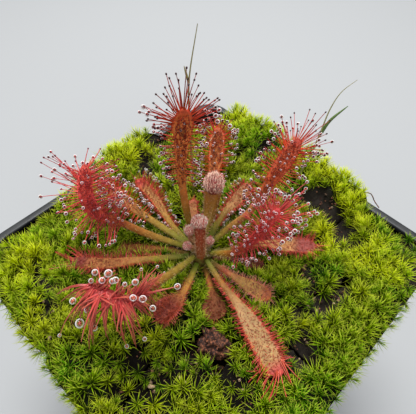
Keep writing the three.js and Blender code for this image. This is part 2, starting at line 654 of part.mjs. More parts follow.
// How far a cushion reaches from its middle in one direction: to halfway to each neighbour, or to
// the pot's wall, or past the rim where it hangs over it.
function cushionReach(cushion, angle) {
  const dx = Math.cos(angle);
  const dy = Math.sin(angle);
  let reach = 12.5;
  for (const other of CUSHIONS) {
    const apart = Math.hypot(other.x - cushion.x, other.y - cushion.y);
    const facing = (dx * (other.x - cushion.x) + dy * (other.y - cushion.y)) / apart;
    if (facing > 0.05) reach = Math.min(reach, (apart / 2 - MOSS.gap / 2) / facing);
  }
  const ahead = dx * (BARK.x - cushion.x) + dy * (BARK.y - cushion.y);
  const aside = dy * (BARK.x - cushion.x) - dx * (BARK.y - cushion.y);
  if (ahead > 0 && Math.abs(aside) < BARK.cell) {
    reach = Math.min(reach, ahead - Math.sqrt(BARK.cell ** 2 - aside ** 2));
  }
  const side = (name, past) => (cushion.over.includes(name) ? past : MOSS.inside);
  const walls = [[1, 0, side('right', MOSS.overRight)], [0, 1, side('back', MOSS.overRim)],
    [-1, 0, side('left', MOSS.overRim)], [0, -1, side('front', MOSS.overFront)]];
  for (const [nx, ny, wall] of walls) {
    const facing = dx * nx + dy * ny;
    if (facing > 0.02) reach = Math.min(reach, (wall - cushion.x * nx - cushion.y * ny) / facing);
  }
  return reach;
}

// A cushion is a disc of triangles stretched to its outline. Every third point stands up as the
// tip of a tuft of shoots, and the others lie low between the tufts.
function makeCushion(cushion) {
  const jitter = randomFrom(Math.round(cushion.x * 31 + cushion.y * 57 + 5000));
  const rings = MOSS.rings;
  const places = [];
  const index = new Map();
  const key = (q, r) => `${q},${r}`;
  const within = (q, r) => Math.max(Math.abs(q), Math.abs(r), Math.abs(q + r));
  for (let q = -rings; q <= rings; q += 1) {
    for (let r = -rings; r <= rings; r += 1) {
      const ring = within(q, r);
      if (ring > rings) continue;
      const hx = q + r / 2;
      const hy = (r * Math.sqrt(3)) / 2;
      const angle = Math.atan2(hy, hx);
      const wobble = ring < rings ? 0.25 * (jitter() - 0.5) / rings : 0;
      const far = cushionReach(cushion, angle) * (ring / rings + wobble);
      const x = cushion.x + far * Math.cos(angle);
      const y = cushion.y + far * Math.sin(angle);
      const dome = MOSS.dome - MOSS.edgeDrop * (ring / rings) ** 3;
      const isTuft = (((q - r) % 3) + 3) % 3 === 0;
      const tuft = isTuft ? MOSS.tuft * (0.7 + 0.6 * jitter()) : -0.2;
      const onRim = Math.max(Math.abs(x), Math.abs(y)) > MOSS.inside - 0.5;
      const low = onRim ? GAP + MOSS.overThick : MOSS.bottom + 2;
      const height = Math.min(mossHeight(x, y) + dome + tuft, mossCeiling(x, y));
      index.set(key(q, r), places.length);
      places.push(new THREE.Vector3(x, y, RIM + Math.max(low, height)));
    }
  }
  const faces = [];
  const at = (q, r) => index.get(key(q, r));
  for (const name of index.keys()) {
    const [q, r] = name.split(',').map(Number);
    for (const [a, b] of [[at(q + 1, r), at(q, r + 1)], [at(q, r + 1), at(q - 1, r + 1)]]) {
      if (a !== undefined && b !== undefined) faces.push(at(q, r), a, b);
    }
  }
  const edge = [];
  const steps = [[-1, 1], [-1, 0], [0, -1], [1, -1], [1, 0], [0, 1]];
  let [q, r] = [rings, 0];
  for (const [dq, dr] of steps) {
    for (let i = 0; i < rings; i += 1) {
      edge.push(at(q, r));
      q += dq;
      r += dr;
    }
  }
  const first = places.length;
  for (const top of edge) {
    places.push(new THREE.Vector3(places[top].x, places[top].y, RIM + MOSS.bottom));
  }
  for (let i = 0; i < edge.length; i += 1) {
    const j = (i + 1) % edge.length;
    faces.push(edge[i], first + i, first + j, edge[i], first + j, edge[j]);
    if (i > 0 && j > 0) faces.push(first, first + j, first + i);
  }
  const geometry = new THREE.BufferGeometry().setFromPoints(places);
  geometry.setIndex(faces);
  let solid = solidFrom(geometry).subtract(lipLimit);
  for (const hole of holes) solid = solid.subtract(hole);
  return mainBody(solid);
}

// ---- the whole plant ----

function leafColour(leaf) {
  if (leaf.name.endsWith('withered')) return COLOURS.withered;
  if (leaf.dew === 0) return COLOURS.old;
  return leaf.name.endsWith('tall') ? COLOURS.tall : COLOURS.dewy;
}

const group = new THREE.Group();
group.name = 'sundew_in_pot';
group.add(named('pot', geometryFrom(makePot()), COLOURS.pot, 0.45));
group.add(named('soil', geometryFrom(makeSoil()), COLOURS.soil, 0.95));
group.add(named('crown', geometryFrom(makeCrown()), COLOURS.crown, 0.7));
for (const { leaf, solid } of leafSolids) {
  group.add(named(leaf.name, geometryFrom(solid), leafColour(leaf), 0.5));
}
for (const { young, solid } of youngLeaves) {
  group.add(named(young.name, geometryFrom(mainBody(solid)), COLOURS.young, 0.6));
}
for (const cushion of CUSHIONS) {
  group.add(named(cushion.name, geometryFrom(makeCushion(cushion)), COLOURS.moss, 0.85));
}
for (const { name, solid } of grasses) {
  group.add(named(name, geometryFrom(mainBody(solid)), COLOURS.grass, 0.6));
}
group.add(named('bark', geometryFrom(makeBark()), COLOURS.bark, 0.9));

export default group;
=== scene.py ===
import math
import random

import bmesh
import bpy
import numpy as np
from mathutils import Matrix, Vector, noise
from mathutils.bvhtree import BVHTree


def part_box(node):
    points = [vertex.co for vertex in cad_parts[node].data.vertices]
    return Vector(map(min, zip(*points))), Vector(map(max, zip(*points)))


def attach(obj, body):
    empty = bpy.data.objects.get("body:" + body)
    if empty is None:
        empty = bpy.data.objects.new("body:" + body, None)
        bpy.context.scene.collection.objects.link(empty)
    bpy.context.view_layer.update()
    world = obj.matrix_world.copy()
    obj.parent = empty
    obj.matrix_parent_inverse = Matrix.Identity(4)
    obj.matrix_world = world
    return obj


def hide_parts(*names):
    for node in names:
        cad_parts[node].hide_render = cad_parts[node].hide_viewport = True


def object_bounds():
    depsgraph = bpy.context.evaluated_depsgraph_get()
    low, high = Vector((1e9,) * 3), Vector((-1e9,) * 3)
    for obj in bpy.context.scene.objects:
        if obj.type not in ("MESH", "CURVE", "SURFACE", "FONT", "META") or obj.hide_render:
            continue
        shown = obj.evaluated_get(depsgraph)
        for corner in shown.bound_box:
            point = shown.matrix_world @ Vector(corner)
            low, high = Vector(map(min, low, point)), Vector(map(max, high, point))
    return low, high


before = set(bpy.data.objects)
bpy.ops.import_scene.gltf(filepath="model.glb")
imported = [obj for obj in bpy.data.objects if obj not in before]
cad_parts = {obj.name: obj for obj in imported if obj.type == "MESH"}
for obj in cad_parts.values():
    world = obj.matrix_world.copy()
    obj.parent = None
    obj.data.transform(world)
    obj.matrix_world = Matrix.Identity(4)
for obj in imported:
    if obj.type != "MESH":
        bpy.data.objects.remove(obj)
cad_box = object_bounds()
MM = 0.001

# ---- camera ----
# It looks down into the pot from its right front corner, from a hand's breadth away.
camera_place = Vector((27.15, -26.02, 133.8)) * MM
azimuth, elevation, roll = (math.radians(angle) for angle in (46.02, 54.73, -0.7))
sight_back = Vector((math.sin(azimuth) * math.cos(elevation),
                     -math.cos(azimuth) * math.cos(elevation), math.sin(elevation)))
level_right = Vector((0, 0, 1)).cross(sight_back).normalized()
level_up = sight_back.cross(level_right)
right = level_right * math.cos(roll) + level_up * math.sin(roll)
up = level_up * math.cos(roll) - level_right * math.sin(roll)
camera_data = bpy.data.cameras.new("camera")
camera_data.lens, camera_data.sensor_width = 32.03, 36
camera_data.clip_start, camera_data.clip_end = 0.002, 20
camera = bpy.data.objects.new("camera", camera_data)
camera_turn = Matrix((right, up, sight_back)).transposed().to_4x4()
camera.matrix_world = Matrix.Translation(camera_place) @ camera_turn
bpy.context.scene.collection.objects.link(camera)
bpy.context.scene.camera = camera


# ---- studio ----
# A pale grey sheet of paper under the pot, under one broad soft lamp and pale walls.
def hex_colour(text):
    """An sRGB hex value as a linear colour."""
    channels = [int(text[i:i + 2], 16) / 255 for i in (1, 3, 5)]
    linear = [c / 12.92 if c <= 0.04045 else ((c + 0.055) / 1.055) ** 2.4 for c in channels]
    return (*linear, 1.0)


def add_node(tree, kind, settings=None, links=None):
    """Adds a node. settings holds its own properties and its inputs' values, and links its inputs'
    sources, each a node and the name or number of its output."""
    made = tree.nodes.new(kind)
    for name, value in (settings or {}).items():
        if isinstance(name, str) and name.islower() and hasattr(made, name):
            setattr(made, name, value)
        else:
            made.inputs[name].default_value = value
    for name, (source, output) in (links or {}).items():
        tree.links.new(source.outputs[output], made.inputs[name])
    return made


def new_material(name):
    """An empty material, and its tree and shader."""
    material = bpy.data.materials.new(name)
    material.use_nodes = True
    tree = material.node_tree
    shader = tree.nodes["Principled BSDF"]
    return material, tree, shader


def set_shader(tree, shader, links, **values):
    """Links a shader's inputs to their sources, each a node and the name or number of its output,
    and sets the inputs that are the same all over the surface."""
    for name, (source, output) in links.items():
        tree.links.new(source.outputs[output], shader.inputs[name])
    for name, value in values.items():
        shader.inputs[name.replace("_", " ")].default_value = value


scene = bpy.context.scene
scene.view_settings.view_transform = "Standard"
world = bpy.data.worlds.new("pale_room")
world.use_nodes = True
walls = world.node_tree.nodes["Background"]
walls.inputs["Color"].default_value = hex_colour("#E9EBEF")
walls.inputs["Strength"].default_value = 0.42
scene.world = world

PAPER_HALF = 3.0
paper_corners = [(x * PAPER_HALF, y * PAPER_HALF, 0)
                 for x, y in ((-1, -1), (1, -1), (1, 1), (-1, 1))]
paper_mesh = bpy.data.meshes.new("paper")
paper_mesh.from_pydata(paper_corners, [], [(0, 1, 2, 3)])
paper = bpy.data.objects.new("paper", paper_mesh)
scene.collection.objects.link(paper)
# Matt card: a fine tooth, and a diffuse white with a touch of blue.
card, tree, shader = new_material("matt_card")
tooth = add_node(tree, "ShaderNodeTexNoise", {"Scale": 900.0, "Detail": 3.0})
tooth_bump = add_node(tree, "ShaderNodeBump", {"Strength": 0.05, "Distance": 0.0001},
                      {"Height": (tooth, "Fac")})
set_shader(tree, shader, {"Normal": (tooth_bump, "Normal")}, Base_Color=hex_colour("#AEB0B1"),
           Roughness=0.9)
paper_mesh.materials.append(card)

LAMP_AIM = Vector((0, 0, 0.07))


def add_lamp(name, size, power, place):
    lamp_data = bpy.data.lights.new(name, "AREA")
    lamp_data.size, lamp_data.energy = size, power
    lamp = bpy.data.objects.new(name, lamp_data)
    lamp.location = place
    lamp.rotation_mode = "QUATERNION"
    lamp.rotation_quaternion = (LAMP_AIM - Vector(place)).to_track_quat("-Z", "Y")
    scene.collection.objects.link(lamp)


add_lamp("softbox", 0.34, 4.9, (-0.16, 0.14, 0.6))
add_lamp("window", 0.3, 0.8, (0.45, -0.2, 0.4))


# ---- pot ----
# A square tapered nursery pot with a stiffening band under its lip, injection moulded in black
# polypropylene about a millimetre thick, with a drain hole near each corner of its floor.
pot_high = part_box("pot")[1] / MM
rim = pot_high.z
POT = {"half_top": pot_high.x, "half_foot": 25.0, "wall": 1.1, "floor": 1.8, "corner": 6.0,
       "band": 4.5, "step": 0.8, "drain": 3.0, "drain_place": 14.0, "lip": 0.45, "foot_edge": 0.4}


def pot_half(z):
    under = POT["half_top"] - POT["step"]
    return POT["half_foot"] + (under - POT["half_foot"]) * z / rim


def square_ring(half, corner, z, steps=14):
    """A level square with round corners, wound to the left seen from above."""
    ring = []
    for quarter in range(4):
        middle = math.pi * (quarter / 2 + 0.25)
        centre_x = math.copysign(half - corner, math.cos(middle))
        centre_y = math.copysign(half - corner, math.sin(middle))
        for i in range(steps + 1):
            angle = math.pi / 2 * (quarter + i / steps)
            ring.append((centre_x + corner * math.cos(angle),
                         centre_y + corner * math.sin(angle), z))
    return ring


def loft(rings, capped=True):
    """Points and faces of a skin over rings with the same number of points, wound to the left about
    the way they run."""
    count = len(rings[0])
    points = [point for ring in rings for point in ring]
    faces = []
    for r in range(len(rings) - 1):
        for i in range(count):
            a, b = r * count + i, r * count + (i + 1) % count
            faces.append((a, b, b + count, a + count))
    if capped:
        faces.append(tuple(range(count - 1, -1, -1)))
        faces.append(tuple(range((len(rings) - 1) * count, len(rings) * count)))
    return points, faces


def add_piece(name, points, faces, material, slot, nodes=(), marks=None):
    """A piece of the plant or pot from points in millimetres. faces are tuples, or arrays with a
    face in each row. marks are numbers on its points that its material reads."""
    points = np.asarray(points, np.float32).reshape(-1, 3) * MM
    if isinstance(faces[0], tuple):
        corners = np.array([c for face in faces for c in face], np.int32)
        sizes = np.array([len(face) for face in faces], np.int32)
    else:
        corners = np.concatenate([block.ravel() for block in faces]).astype(np.int32)
        sizes = np.concatenate([np.full(len(block), block.shape[1]) for block in faces])
    mesh = bpy.data.meshes.new(name)
    mesh.vertices.add(len(points))
    mesh.vertices.foreach_set("co", points.ravel())
    mesh.loops.add(len(corners))
    mesh.loops.foreach_set("vertex_index", corners)
    mesh.polygons.add(len(sizes))
    mesh.polygons.foreach_set("loop_start", (np.cumsum(sizes) - sizes).astype(np.int32))
    for mark, values in (marks or {}).items():
        values = np.asarray(values, np.float32)
        colours = np.ones((len(points), 4), np.float32)
        colours[:, :values.shape[1]] = values
        attribute = mesh.attributes.new(mark, "FLOAT_COLOR", "POINT")
        attribute.data.foreach_set("color", colours.ravel())
    mesh.update(calc_edges=True)
    mesh.validate()
    mesh.shade_smooth()
    mesh.materials.append(material)
    piece = bpy.data.objects.new(name, mesh)
    scene.collection.objects.link(piece)
    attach(piece, "root")
    if nodes:
        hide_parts(*nodes)
    return piece


# Moulded polypropylene: dull black with the mould's fine grain, greyed by dust and water marks.
polypropylene, tree, shader = new_material("moulded_polypropylene")
place = add_node(tree, "ShaderNodeTexCoord")
grain = add_node(tree, "ShaderNodeTexNoise", {"Scale": 1 / (0.35 * MM), "Detail": 2.0},
                 {"Vector": (place, "Object")})
dust = add_node(tree, "ShaderNodeTexNoise", {"Scale": 1 / (9 * MM), "Detail": 6.0,
                                             "Roughness": 0.65}, {"Vector": (place, "Object")})
dust_share = add_node(tree, "ShaderNodeMapRange", {"From Min": 0.42, "From Max": 0.8,
                                                   "To Max": 0.5}, {"Value": (dust, "Fac")})
dusty = add_node(tree, "ShaderNodeMix", {"data_type": "RGBA", 6: hex_colour("#1A1C1E"),
                                         7: hex_colour("#4C4F50")},
                 {"Factor": (dust_share, "Result")})
grain_bump = add_node(tree, "ShaderNodeBump", {"Strength": 0.35, "Distance": 0.00005},
                      {"Height": (grain, "Fac")})
dull = add_node(tree, "ShaderNodeMapRange", {"From Min": 0.3, "From Max": 0.7, "To Min": 0.36,
                                             "To Max": 0.55}, {"Value": (dust, "Fac")})
set_shader(tree, shader, {"Base Color": (dusty, 2), "Roughness": (dull, "Result"),
                          "Normal": (grain_bump, "Normal")}, IOR=1.49)

band_foot = rim - POT["band"]
inner_top = POT["half_top"] - POT["step"] - POT["wall"]
inner_corner = POT["corner"] - 1
lip = POT["lip"]
# Half width, corner radius and height, up the outside, over the lip and down the inside.
pot_profile = [(pot_half(0) - POT["foot_edge"], POT["corner"] - POT["foot_edge"], 0),
               (pot_half(0), POT["corner"], 0.5),
               (pot_half(band_foot - 0.7), POT["corner"], band_foot - 0.7),
               (POT["half_top"] - 0.3, POT["corner"], band_foot - 0.1),
               (POT["half_top"] - 0.05, POT["corner"], band_foot + 0.2)]
lip_turns = [math.pi / 2 * i / 5 for i in range(6)]
for angle in lip_turns:
    inset = lip * (1 - math.cos(angle))
    pot_profile.append((POT["half_top"] - inset, POT["corner"] - inset,
                        rim - lip + lip * math.sin(angle)))
for angle in lip_turns:
    inset = lip * (1 - math.sin(angle))
    pot_profile.append((inner_top + inset, inner_corner + inset, rim - lip + lip * math.cos(angle)))
pot_profile += [(pot_half(POT["floor"] + 1) - POT["wall"], inner_corner, POT["floor"] + 1),
                (pot_half(POT["floor"]) - POT["wall"] - 0.9, inner_corner - 0.9, POT["floor"])]
pot_points, pot_faces = loft([square_ring(*stop) for stop in pot_profile])
pot_piece = add_piece("pot_shell", pot_points, pot_faces, polypropylene, "black_plastic", ["pot"])

# The drain holes are cut through the floor.
drill = bmesh.new()
for sign_x in (-1, 1):
    for sign_y in (-1, 1):
        hole = Matrix.Translation(Vector((sign_x, sign_y, 0)) * POT["drain_place"] * MM)
        bmesh.ops.create_cone(drill, cap_ends=True, segments=32, radius1=POT["drain"] * MM,
                              radius2=POT["drain"] * MM, depth=8 * MM, matrix=hole)
drill_mesh = bpy.data.meshes.new("drill")
drill.to_mesh(drill_mesh)
drill.free()
drill_object = bpy.data.objects.new("drill", drill_mesh)
scene.collection.objects.link(drill_object)
cut = pot_piece.modifiers.new("drain_holes", "BOOLEAN")
cut.object, cut.operation, cut.solver = drill_object, "DIFFERENCE", "EXACT"
built = pot_piece.evaluated_get(bpy.context.evaluated_depsgraph_get())
drained = bpy.data.meshes.new_from_object(built)
pot_piece.modifiers.clear()
pot_piece.data = drained
drained.set_sharp_from_angle(angle=math.radians(40))
bpy.data.objects.remove(drill_object)


# ---- potting mix ----
# Peat, fine bark and grit that fill the pot to under its lip, damp and nearly black.
SOIL = {"rings": 24, "corner_steps": 10, "wall_gap": 0.3, "edge_gap": 0.02, "highest_crumb": 0.25}
soil_low, soil_high = (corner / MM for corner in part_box("soil"))
soil_corner = POT["corner"] - POT["wall"]
soil_foot = pot_half(soil_low.z) - POT["wall"] - SOIL["wall_gap"]
soil_half = soil_high.x - SOIL["edge_gap"]
soil_rings = [square_ring(soil_foot, soil_corner, soil_low.z, SOIL["corner_steps"])]
for i in range(SOIL["rings"]):
    share = 1 - i / (SOIL["rings"] + 0.5)
    soil_rings.append(square_ring(soil_half * share, soil_corner * share, soil_high.z,
                                  SOIL["corner_steps"]))
soil_points, soil_faces = loft(soil_rings)
for i in range(2 * len(soil_rings[0]), len(soil_points)):
    x, y, z = soil_points[i]
    coarse, fine = noise.noise(Vector((x, y, 3)) * 0.5), noise.noise(Vector((x, y, 7)) * 1.3)
    soil_points[i] = (x, y, z + min(0.5 * coarse + 0.35 * fine, SOIL["highest_crumb"]))

# Damp peat: crumbs of dark brown with paler fibres, rough, with a wet glint here and there.
peat, tree, shader = new_material("damp_peat")
place = add_node(tree, "ShaderNodeTexCoord")
crumb = add_node(tree, "ShaderNodeTexVoronoi", {"Scale": 1 / (0.9 * MM)},
                 {"Vector": (place, "Object")})
mould = add_node(tree, "ShaderNodeTexNoise", {"Scale": 1 / (2.5 * MM), "Detail": 8.0,
                                              "Roughness": 0.7}, {"Vector": (place, "Object")})
peat_tone = add_node(tree, "ShaderNodeMapRange", {"From Min": 0.35, "From Max": 0.75},
                     {"Value": (mould, "Fac")})
peat_colour = add_node(tree, "ShaderNodeMix", {"data_type": "RGBA", 6: hex_colour("#0F0B08"),
                                               7: hex_colour("#4A3626")},
                       {"Factor": (peat_tone, "Result")})
peat_bump = add_node(tree, "ShaderNodeBump", {"Strength": 1.0, "Distance": 0.0005},
                     {"Height": (crumb, "Distance")})
set_shader(tree, shader, {"Base Color": (peat_colour, 2), "Normal": (peat_bump, "Normal")},
           Roughness=0.75, Specular_IOR_Level=0.15)
add_piece("potting_mix", soil_points, soil_faces, peat, "potting_mix", ["soil"])


# ---- moss ----
# Star moss over the mix in cushions, some of which hang over the rim. Each shoot carries a rosette
# of thin pointed leaves, lime where they are young and deep green below. Painted light brightens the
# lime places, and painted shade darkens the leaves' feet.
class Mesh:
    """Points, faces and marks gathered for one piece."""

    def __init__(self):
        self.points, self.quads, self.triangles, self.marks, self.count = [], [], [], [], 0

    def add(self, points, marks, quads=None, triangles=None):
        if quads is not None:
            self.quads.append(quads + self.count)
        if triangles is not None:
            self.triangles.append(triangles + self.count)
        self.points.append(points)
        self.marks.append(marks)
        self.count += len(points)

    def piece(self, name, material, slot, mark, nodes):
        faces = [np.concatenate(block) for block in (self.quads, self.triangles) if block]
        add_piece(name, np.concatenate(self.points), faces, material, slot, nodes,
                  {mark: np.concatenate(self.marks)})


def random_turn(draw, axis):
    """A turn that carries +Z to axis, with any spin about it."""
    spin = Matrix.Rotation(draw.uniform(0, 2 * math.pi), 3, "Z")
    return axis.to_track_quat("Z", "Y").to_matrix() @ spin


def random_shift(draw, most):
    return [draw.uniform(-most, most) for _ in range(3)]


# A shoot's leaves by number, length and half width, and its stem; how far apart shoots stand, how
# many kinds there are, how many are tried on a square millimetre, and the least size that grows.
SHOOT = {"leaves": 38, "length": 3.5, "half_width": 0.075, "stem": 1.7, "apart": 1.45, "kinds": 12,
         "tries": 3.5, "least": 0.35}
GOLDEN_TURN = math.pi * (3 - math.sqrt(5))
AWL_STOPS = (0.0, 0.5)
AWL_SIDES = np.array([(0, 1, 4, 3), (1, 2, 5, 4), (2, 0, 3, 5)])
AWL_TIP = np.array([(3, 4, 6), (4, 5, 6), (5, 3, 6)])


def moss_leaf(length, half_width, curl):
    """An awl of three sides along +X, with its tip curling up."""
    points = []
    for t in AWL_STOPS:
        wide, rise = half_width * (1 - 0.35 * t), curl * t * t
        points += [(t * length, wide, rise), (t * length, -wide, rise),
                   (t * length, 0, rise - 0.8 * wide)]
    return np.array([*points, (length, 0, curl)])


def moss_shoot(draw):
    """The leaves of one shoot that grows up +Z, and a mark for each point: how far out along its
    leaf it is, and a number that is the leaf's own."""
    points, marks = [], []
    for i in range(SHOOT["leaves"]):
        outer = (i + 0.5) / SHOOT["leaves"]
        lift = math.radians(82 - 66 * outer + draw.uniform(-10, 10))
        spin = i * GOLDEN_TURN + draw.uniform(-0.25, 0.25)
        length = SHOOT["length"] * (0.55 + 0.45 * outer ** 0.6) * draw.uniform(0.75, 1.15)
        half_width = SHOOT["half_width"] * draw.uniform(0.8, 1.2)
        leaf = moss_leaf(length, half_width, draw.uniform(-0.25, 0.2))
        turn = Matrix.Rotation(spin, 3, "Z") @ Matrix.Rotation(-lift, 3, "Y")
        points.append(leaf @ np.array(turn).T + (0, 0, SHOOT["stem"] * (1 - outer)))
        own = draw.random()
        marks += [(t, own) for t in AWL_STOPS for _ in range(3)] + [(1.0, own)]
    return np.concatenate(points), np.array(marks)


draw = random.Random(3)
shoot_kinds = [moss_shoot(draw) for _ in range(SHOOT["kinds"])]
awl_starts = np.arange(SHOOT["leaves"]) * (3 * len(AWL_STOPS) + 1)
shoot_quads = (AWL_SIDES[None] + awl_starts[:, None, None]).reshape(-1, 4)
shoot_triangles = (AWL_TIP[None] + awl_starts[:, None, None]).reshape(-1, 3)

# Where the mix shows between the shoots, and where the moss is young and lime and is also painted
# brighter as painted light: place and radius.
BARE = [(7.5, 27.3, 2.2), (5, 26.5, 1.5), (10, 27.6, 1.4), (13, 26.8, 1.9), (16, 25, 1.6),
        (17.3, 23.3, 1), (20.6, 23.3, 0.9), (18.5, 33.8, 1.2), (20.5, 34.8, 1.6), (24, 33, 2.4),
        (28, 31.5, 2.6), (31.3, 29.5, 2.4), (33.5, 26, 1.7), (34.2, 22.5, 0.8), (-25.8, 4.9, 1),
        (-31.4, 12.5, 1.2), (23.8, 14.2, 1.2), (24.3, 12, 1), (22.8, 8.3, 1.3), (24, 6.8, 0.9),
        (20.8, 3.8, 1), (20.3, 9.3, 0.6), (24.5, -2, 1.5), (27, -2.5, 1.4), (25.5, -0.8, 1.1),
        (17.2, 11.2, 0.9), (18.8, -12.2, 1.2), (22, -13.8, 1.5), (24, -14.5, 1.1),
        (13.5, -18.2, 1.5), (15.5, -17.5, 1.1), (10.5, -22.8, 1.7), (8.5, -22.5, 1.1),
        (6, -23.3, 1.2), (4, -21, 1.1), (12, -14.5, 1.5), (10.5, -25, 1.1), (13, -29.5, 0.9),
        (8.5, -29.3, 0.6), (-33.3, -21.5, 1.9), (-33, -24.5, 2), (-32.8, -28, 2),
        (-32.5, -30.5, 1.4), (-12.2, -28.6, 0.4), (-12, -30.3, 0.3), (-21, -27, 0.7),
        (-18, -28, 0.5), (-15.5, -27, 0.5), (-32, 14.5, 1.9), (-31.5, 11.5, 1.4),
        (-28.5, 6.5, 1.4), (-11, 31.3, 1.3), (-10.5, 28.5, 1.2), (-14, 25, 1.2), (-33, 33.3, 2.4),
        (-30.5, 31.5, 1.6), (-29, 28.5, 1.3), (-22, 9, 1.1), (16.5, 36.6, 1.4), (19.5, 36.4, 1.6),
        (34.5, -30, 1), (33.5, 30.5, 1.6)]
LIME_AND_LIT = [(3, 33, 5), (10, 32, 6.5), (14, 31, 5), (19, 28.5, 3), (25, 25.5, 2.4), (30, 21.5, 3.4),
        (24, 20, 3), (17, 19, 4), (-24, 32, 5), (-20, 33, 5), (-14, 33, 5), (-10, 35, 4),
        (-35, 2, 6), (-30, 6, 5), (-34, -12, 4), (-26, -27, 4), (-20, -30, 4.5), (-12, -32, 2)]


def smooth(t):
    """An even climb from 0 to 1 with soft ends."""
    t = min(1, max(0, t))
    return t * t * (3 - 2 * t)


def bareness(x, y):
    """From 0 under thick moss to 1 in the middle of a bare place."""
    bare = max(radius - math.hypot(x - bx - 0.6, y - by + 0.6) for bx, by, radius in BARE)
    return min(1, max(0, (bare + 2 + 0.5 * noise.noise(Vector((x, y, 0)) * 0.45)) / 1.6))


def lime_and_lit_share(x, y):
    return max(smooth(1.4 - math.hypot(x - lx, y - ly) / radius) for lx, ly, radius in LIME_AND_LIT)


def looseness_and_front_shade(x, y):
    """How far the shoots stand apart in front of the plant, and how deep the painted shade on the
    mix is there.
    """
    return smooth((-4 - y) / 8) * smooth((y + 36) / 6) * smooth((x + 10) / 8) * smooth((32 - x) / 8)


def thinning(x, y, loose):
    """How surely a shoot is missing from a bare place: in front of the plant, in the far right
    corner, and elsewhere."""
    if loose > 0.5:
        return 0.93
    return 0.96 if x > 19 and y > 26 else 1.15


def read_mark(tree, name):
    """Nodes that read a mark on a piece's points, and its parts."""
    mark = add_node(tree, "ShaderNodeAttribute", {"attribute_name": name})
    return mark, add_node(tree, "ShaderNodeSeparateColor", links={"Color": (mark, "Color")})


# Moss leaf: one layer of cells, wet and bright, nearly clear at its edges; its pale tip is partly
# young growth and partly painted highlight, and its near-black foot is painted shade.
moss_green, tree, shader = new_material("moss_leaf")
_, parts = read_mark(tree, "shoot")
hue = add_node(tree, "ShaderNodeMix", {"data_type": "RGBA", 6: hex_colour("#568E00"),
                                       7: hex_colour("#A6B000")}, {"Factor": (parts, "Green")})
# Value: the leaf's own tone, raised by painted light in the lime places.
own_and_lit_tone = add_node(tree, "ShaderNodeMapRange", {"To Min": 0.55, "To Max": 1.95},
                    {"Value": (parts, "Blue")})
toned = add_node(tree, "ShaderNodeHueSaturation", links={"Color": (hue, 2),
                                                         "Value": (own_and_lit_tone, "Result")})
# The paler tip is partly young growth and partly a painted highlight where light falls on the tips.
tip_young_and_highlight_share = add_node(tree, "ShaderNodeMapRange", {"From Min": 0.5, "To Max": 0.75},
                     {"Value": (parts, "Red")})
tipped = add_node(tree, "ShaderNodeMix", {"data_type": "RGBA", 7: hex_colour("#D8DC4C")},
                  {"Factor": (tip_young_and_highlight_share, "Result"), 6: (toned, "Color")})
# Painted shade: each leaf darkens to near black at its foot, where the shoots shade each other.
foot_painted_shade_share = add_node(tree, "ShaderNodeMapRange", {"From Max": 0.42, "To Min": 1.0, "To Max": 0.0},
                      {"Value": (parts, "Red")})
moss_colour = add_node(tree, "ShaderNodeMix", {"data_type": "RGBA", 7: hex_colour("#101C01")},
                       {"Factor": (foot_painted_shade_share, "Result"), 6: (tipped, 2)})
set_shader(tree, shader, {"Base Color": (moss_colour, 2)}, Roughness=0.5, IOR=1.42,
           Specular_IOR_Level=0.12)

# Moss bed: the dead brown-green stems and damp peat under the shoots. Painted shade darkens it: the
# stems are near black in the gaps between the shoots, and the open mix is darker in front of the
# plant.
moss_bed, tree, shader = new_material("moss_bed")
place = add_node(tree, "ShaderNodeTexCoord")
_, parts = read_mark(tree, "bed")
bed_noise = add_node(tree, "ShaderNodeTexNoise", {"Scale": 1 / (0.8 * MM), "Detail": 6.0,
                                                  "Roughness": 0.7}, {"Vector": (place, "Object")})
# The stems' tone is near black: partly their own dark colour, and partly painted shade in the gaps
# between the shoots.
stems_and_gap_shade, mix_tone, front_painted_shade_tone = (
    add_node(tree, "ShaderNodeMix", {"data_type": "RGBA", 6: hex_colour(dark), 7: hex_colour(pale)},
             {"Factor": (bed_noise, "Fac")})
    for dark, pale in (("#050702", "#141E08"), ("#0B0A09", "#3A332C"), ("#040302", "#1A1410")))
# Painted shade: in front of the plant the open mix darkens to near black.
open_mix_with_front_shade = add_node(tree, "ShaderNodeMix", {"data_type": "RGBA"},
                     {"Factor": (parts, "Green"), 6: (mix_tone, 2), 7: (front_painted_shade_tone, 2)})
bed_colour = add_node(tree, "ShaderNodeMix", {"data_type": "RGBA"},
                      {"Factor": (parts, "Red"), 6: (stems_and_gap_shade, 2), 7: (open_mix_with_front_shade, 2)})
bed_bump = add_node(tree, "ShaderNodeBump", {"Strength": 1.0, "Distance": 0.0004},
                    {"Height": (bed_noise, "Fac")})
set_shader(tree, shader, {"Base Color": (bed_colour, 2), "Normal": (bed_bump, "Normal")},
           Roughness=0.85, Specular_IOR_Level=0.12)

over_plant = bmesh.new()
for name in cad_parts:
    if name.startswith(("leaf_", "grass_")) or name == "crown":
        over_plant.from_mesh(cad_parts[name].data)
bmesh.ops.scale(over_plant, vec=(1 / MM,) * 3, verts=over_plant.verts)
plant_above = BVHTree.FromBMesh(over_plant)
over_plant.free()

# Shoots stay inside the fixed frame's box and 3% of each side.
SPARE, MARGIN = 0.03, 0.1
allowed = [(low / MM - SPARE * (high - low) / MM + MARGIN,
            high / MM + SPARE * (high - low) / MM - MARGIN) for low, high in zip(*cad_box)]
inside_wall = POT["half_top"] - 1
ground = bmesh.new()


class Colony:
    """The places where shoots already stand, on all the cushions."""

    def __init__(self, most=6000):
        self.places, self.count = np.empty((most, 3)), 0

    def crowded(self, place, apart):
        near = self.places[:self.count] - place
        return self.count > 0 and (near * near).sum(axis=1).min() < apart ** 2

    def add(self, place):
        self.places[self.count] = place
        self.count += 1


colony = Colony()


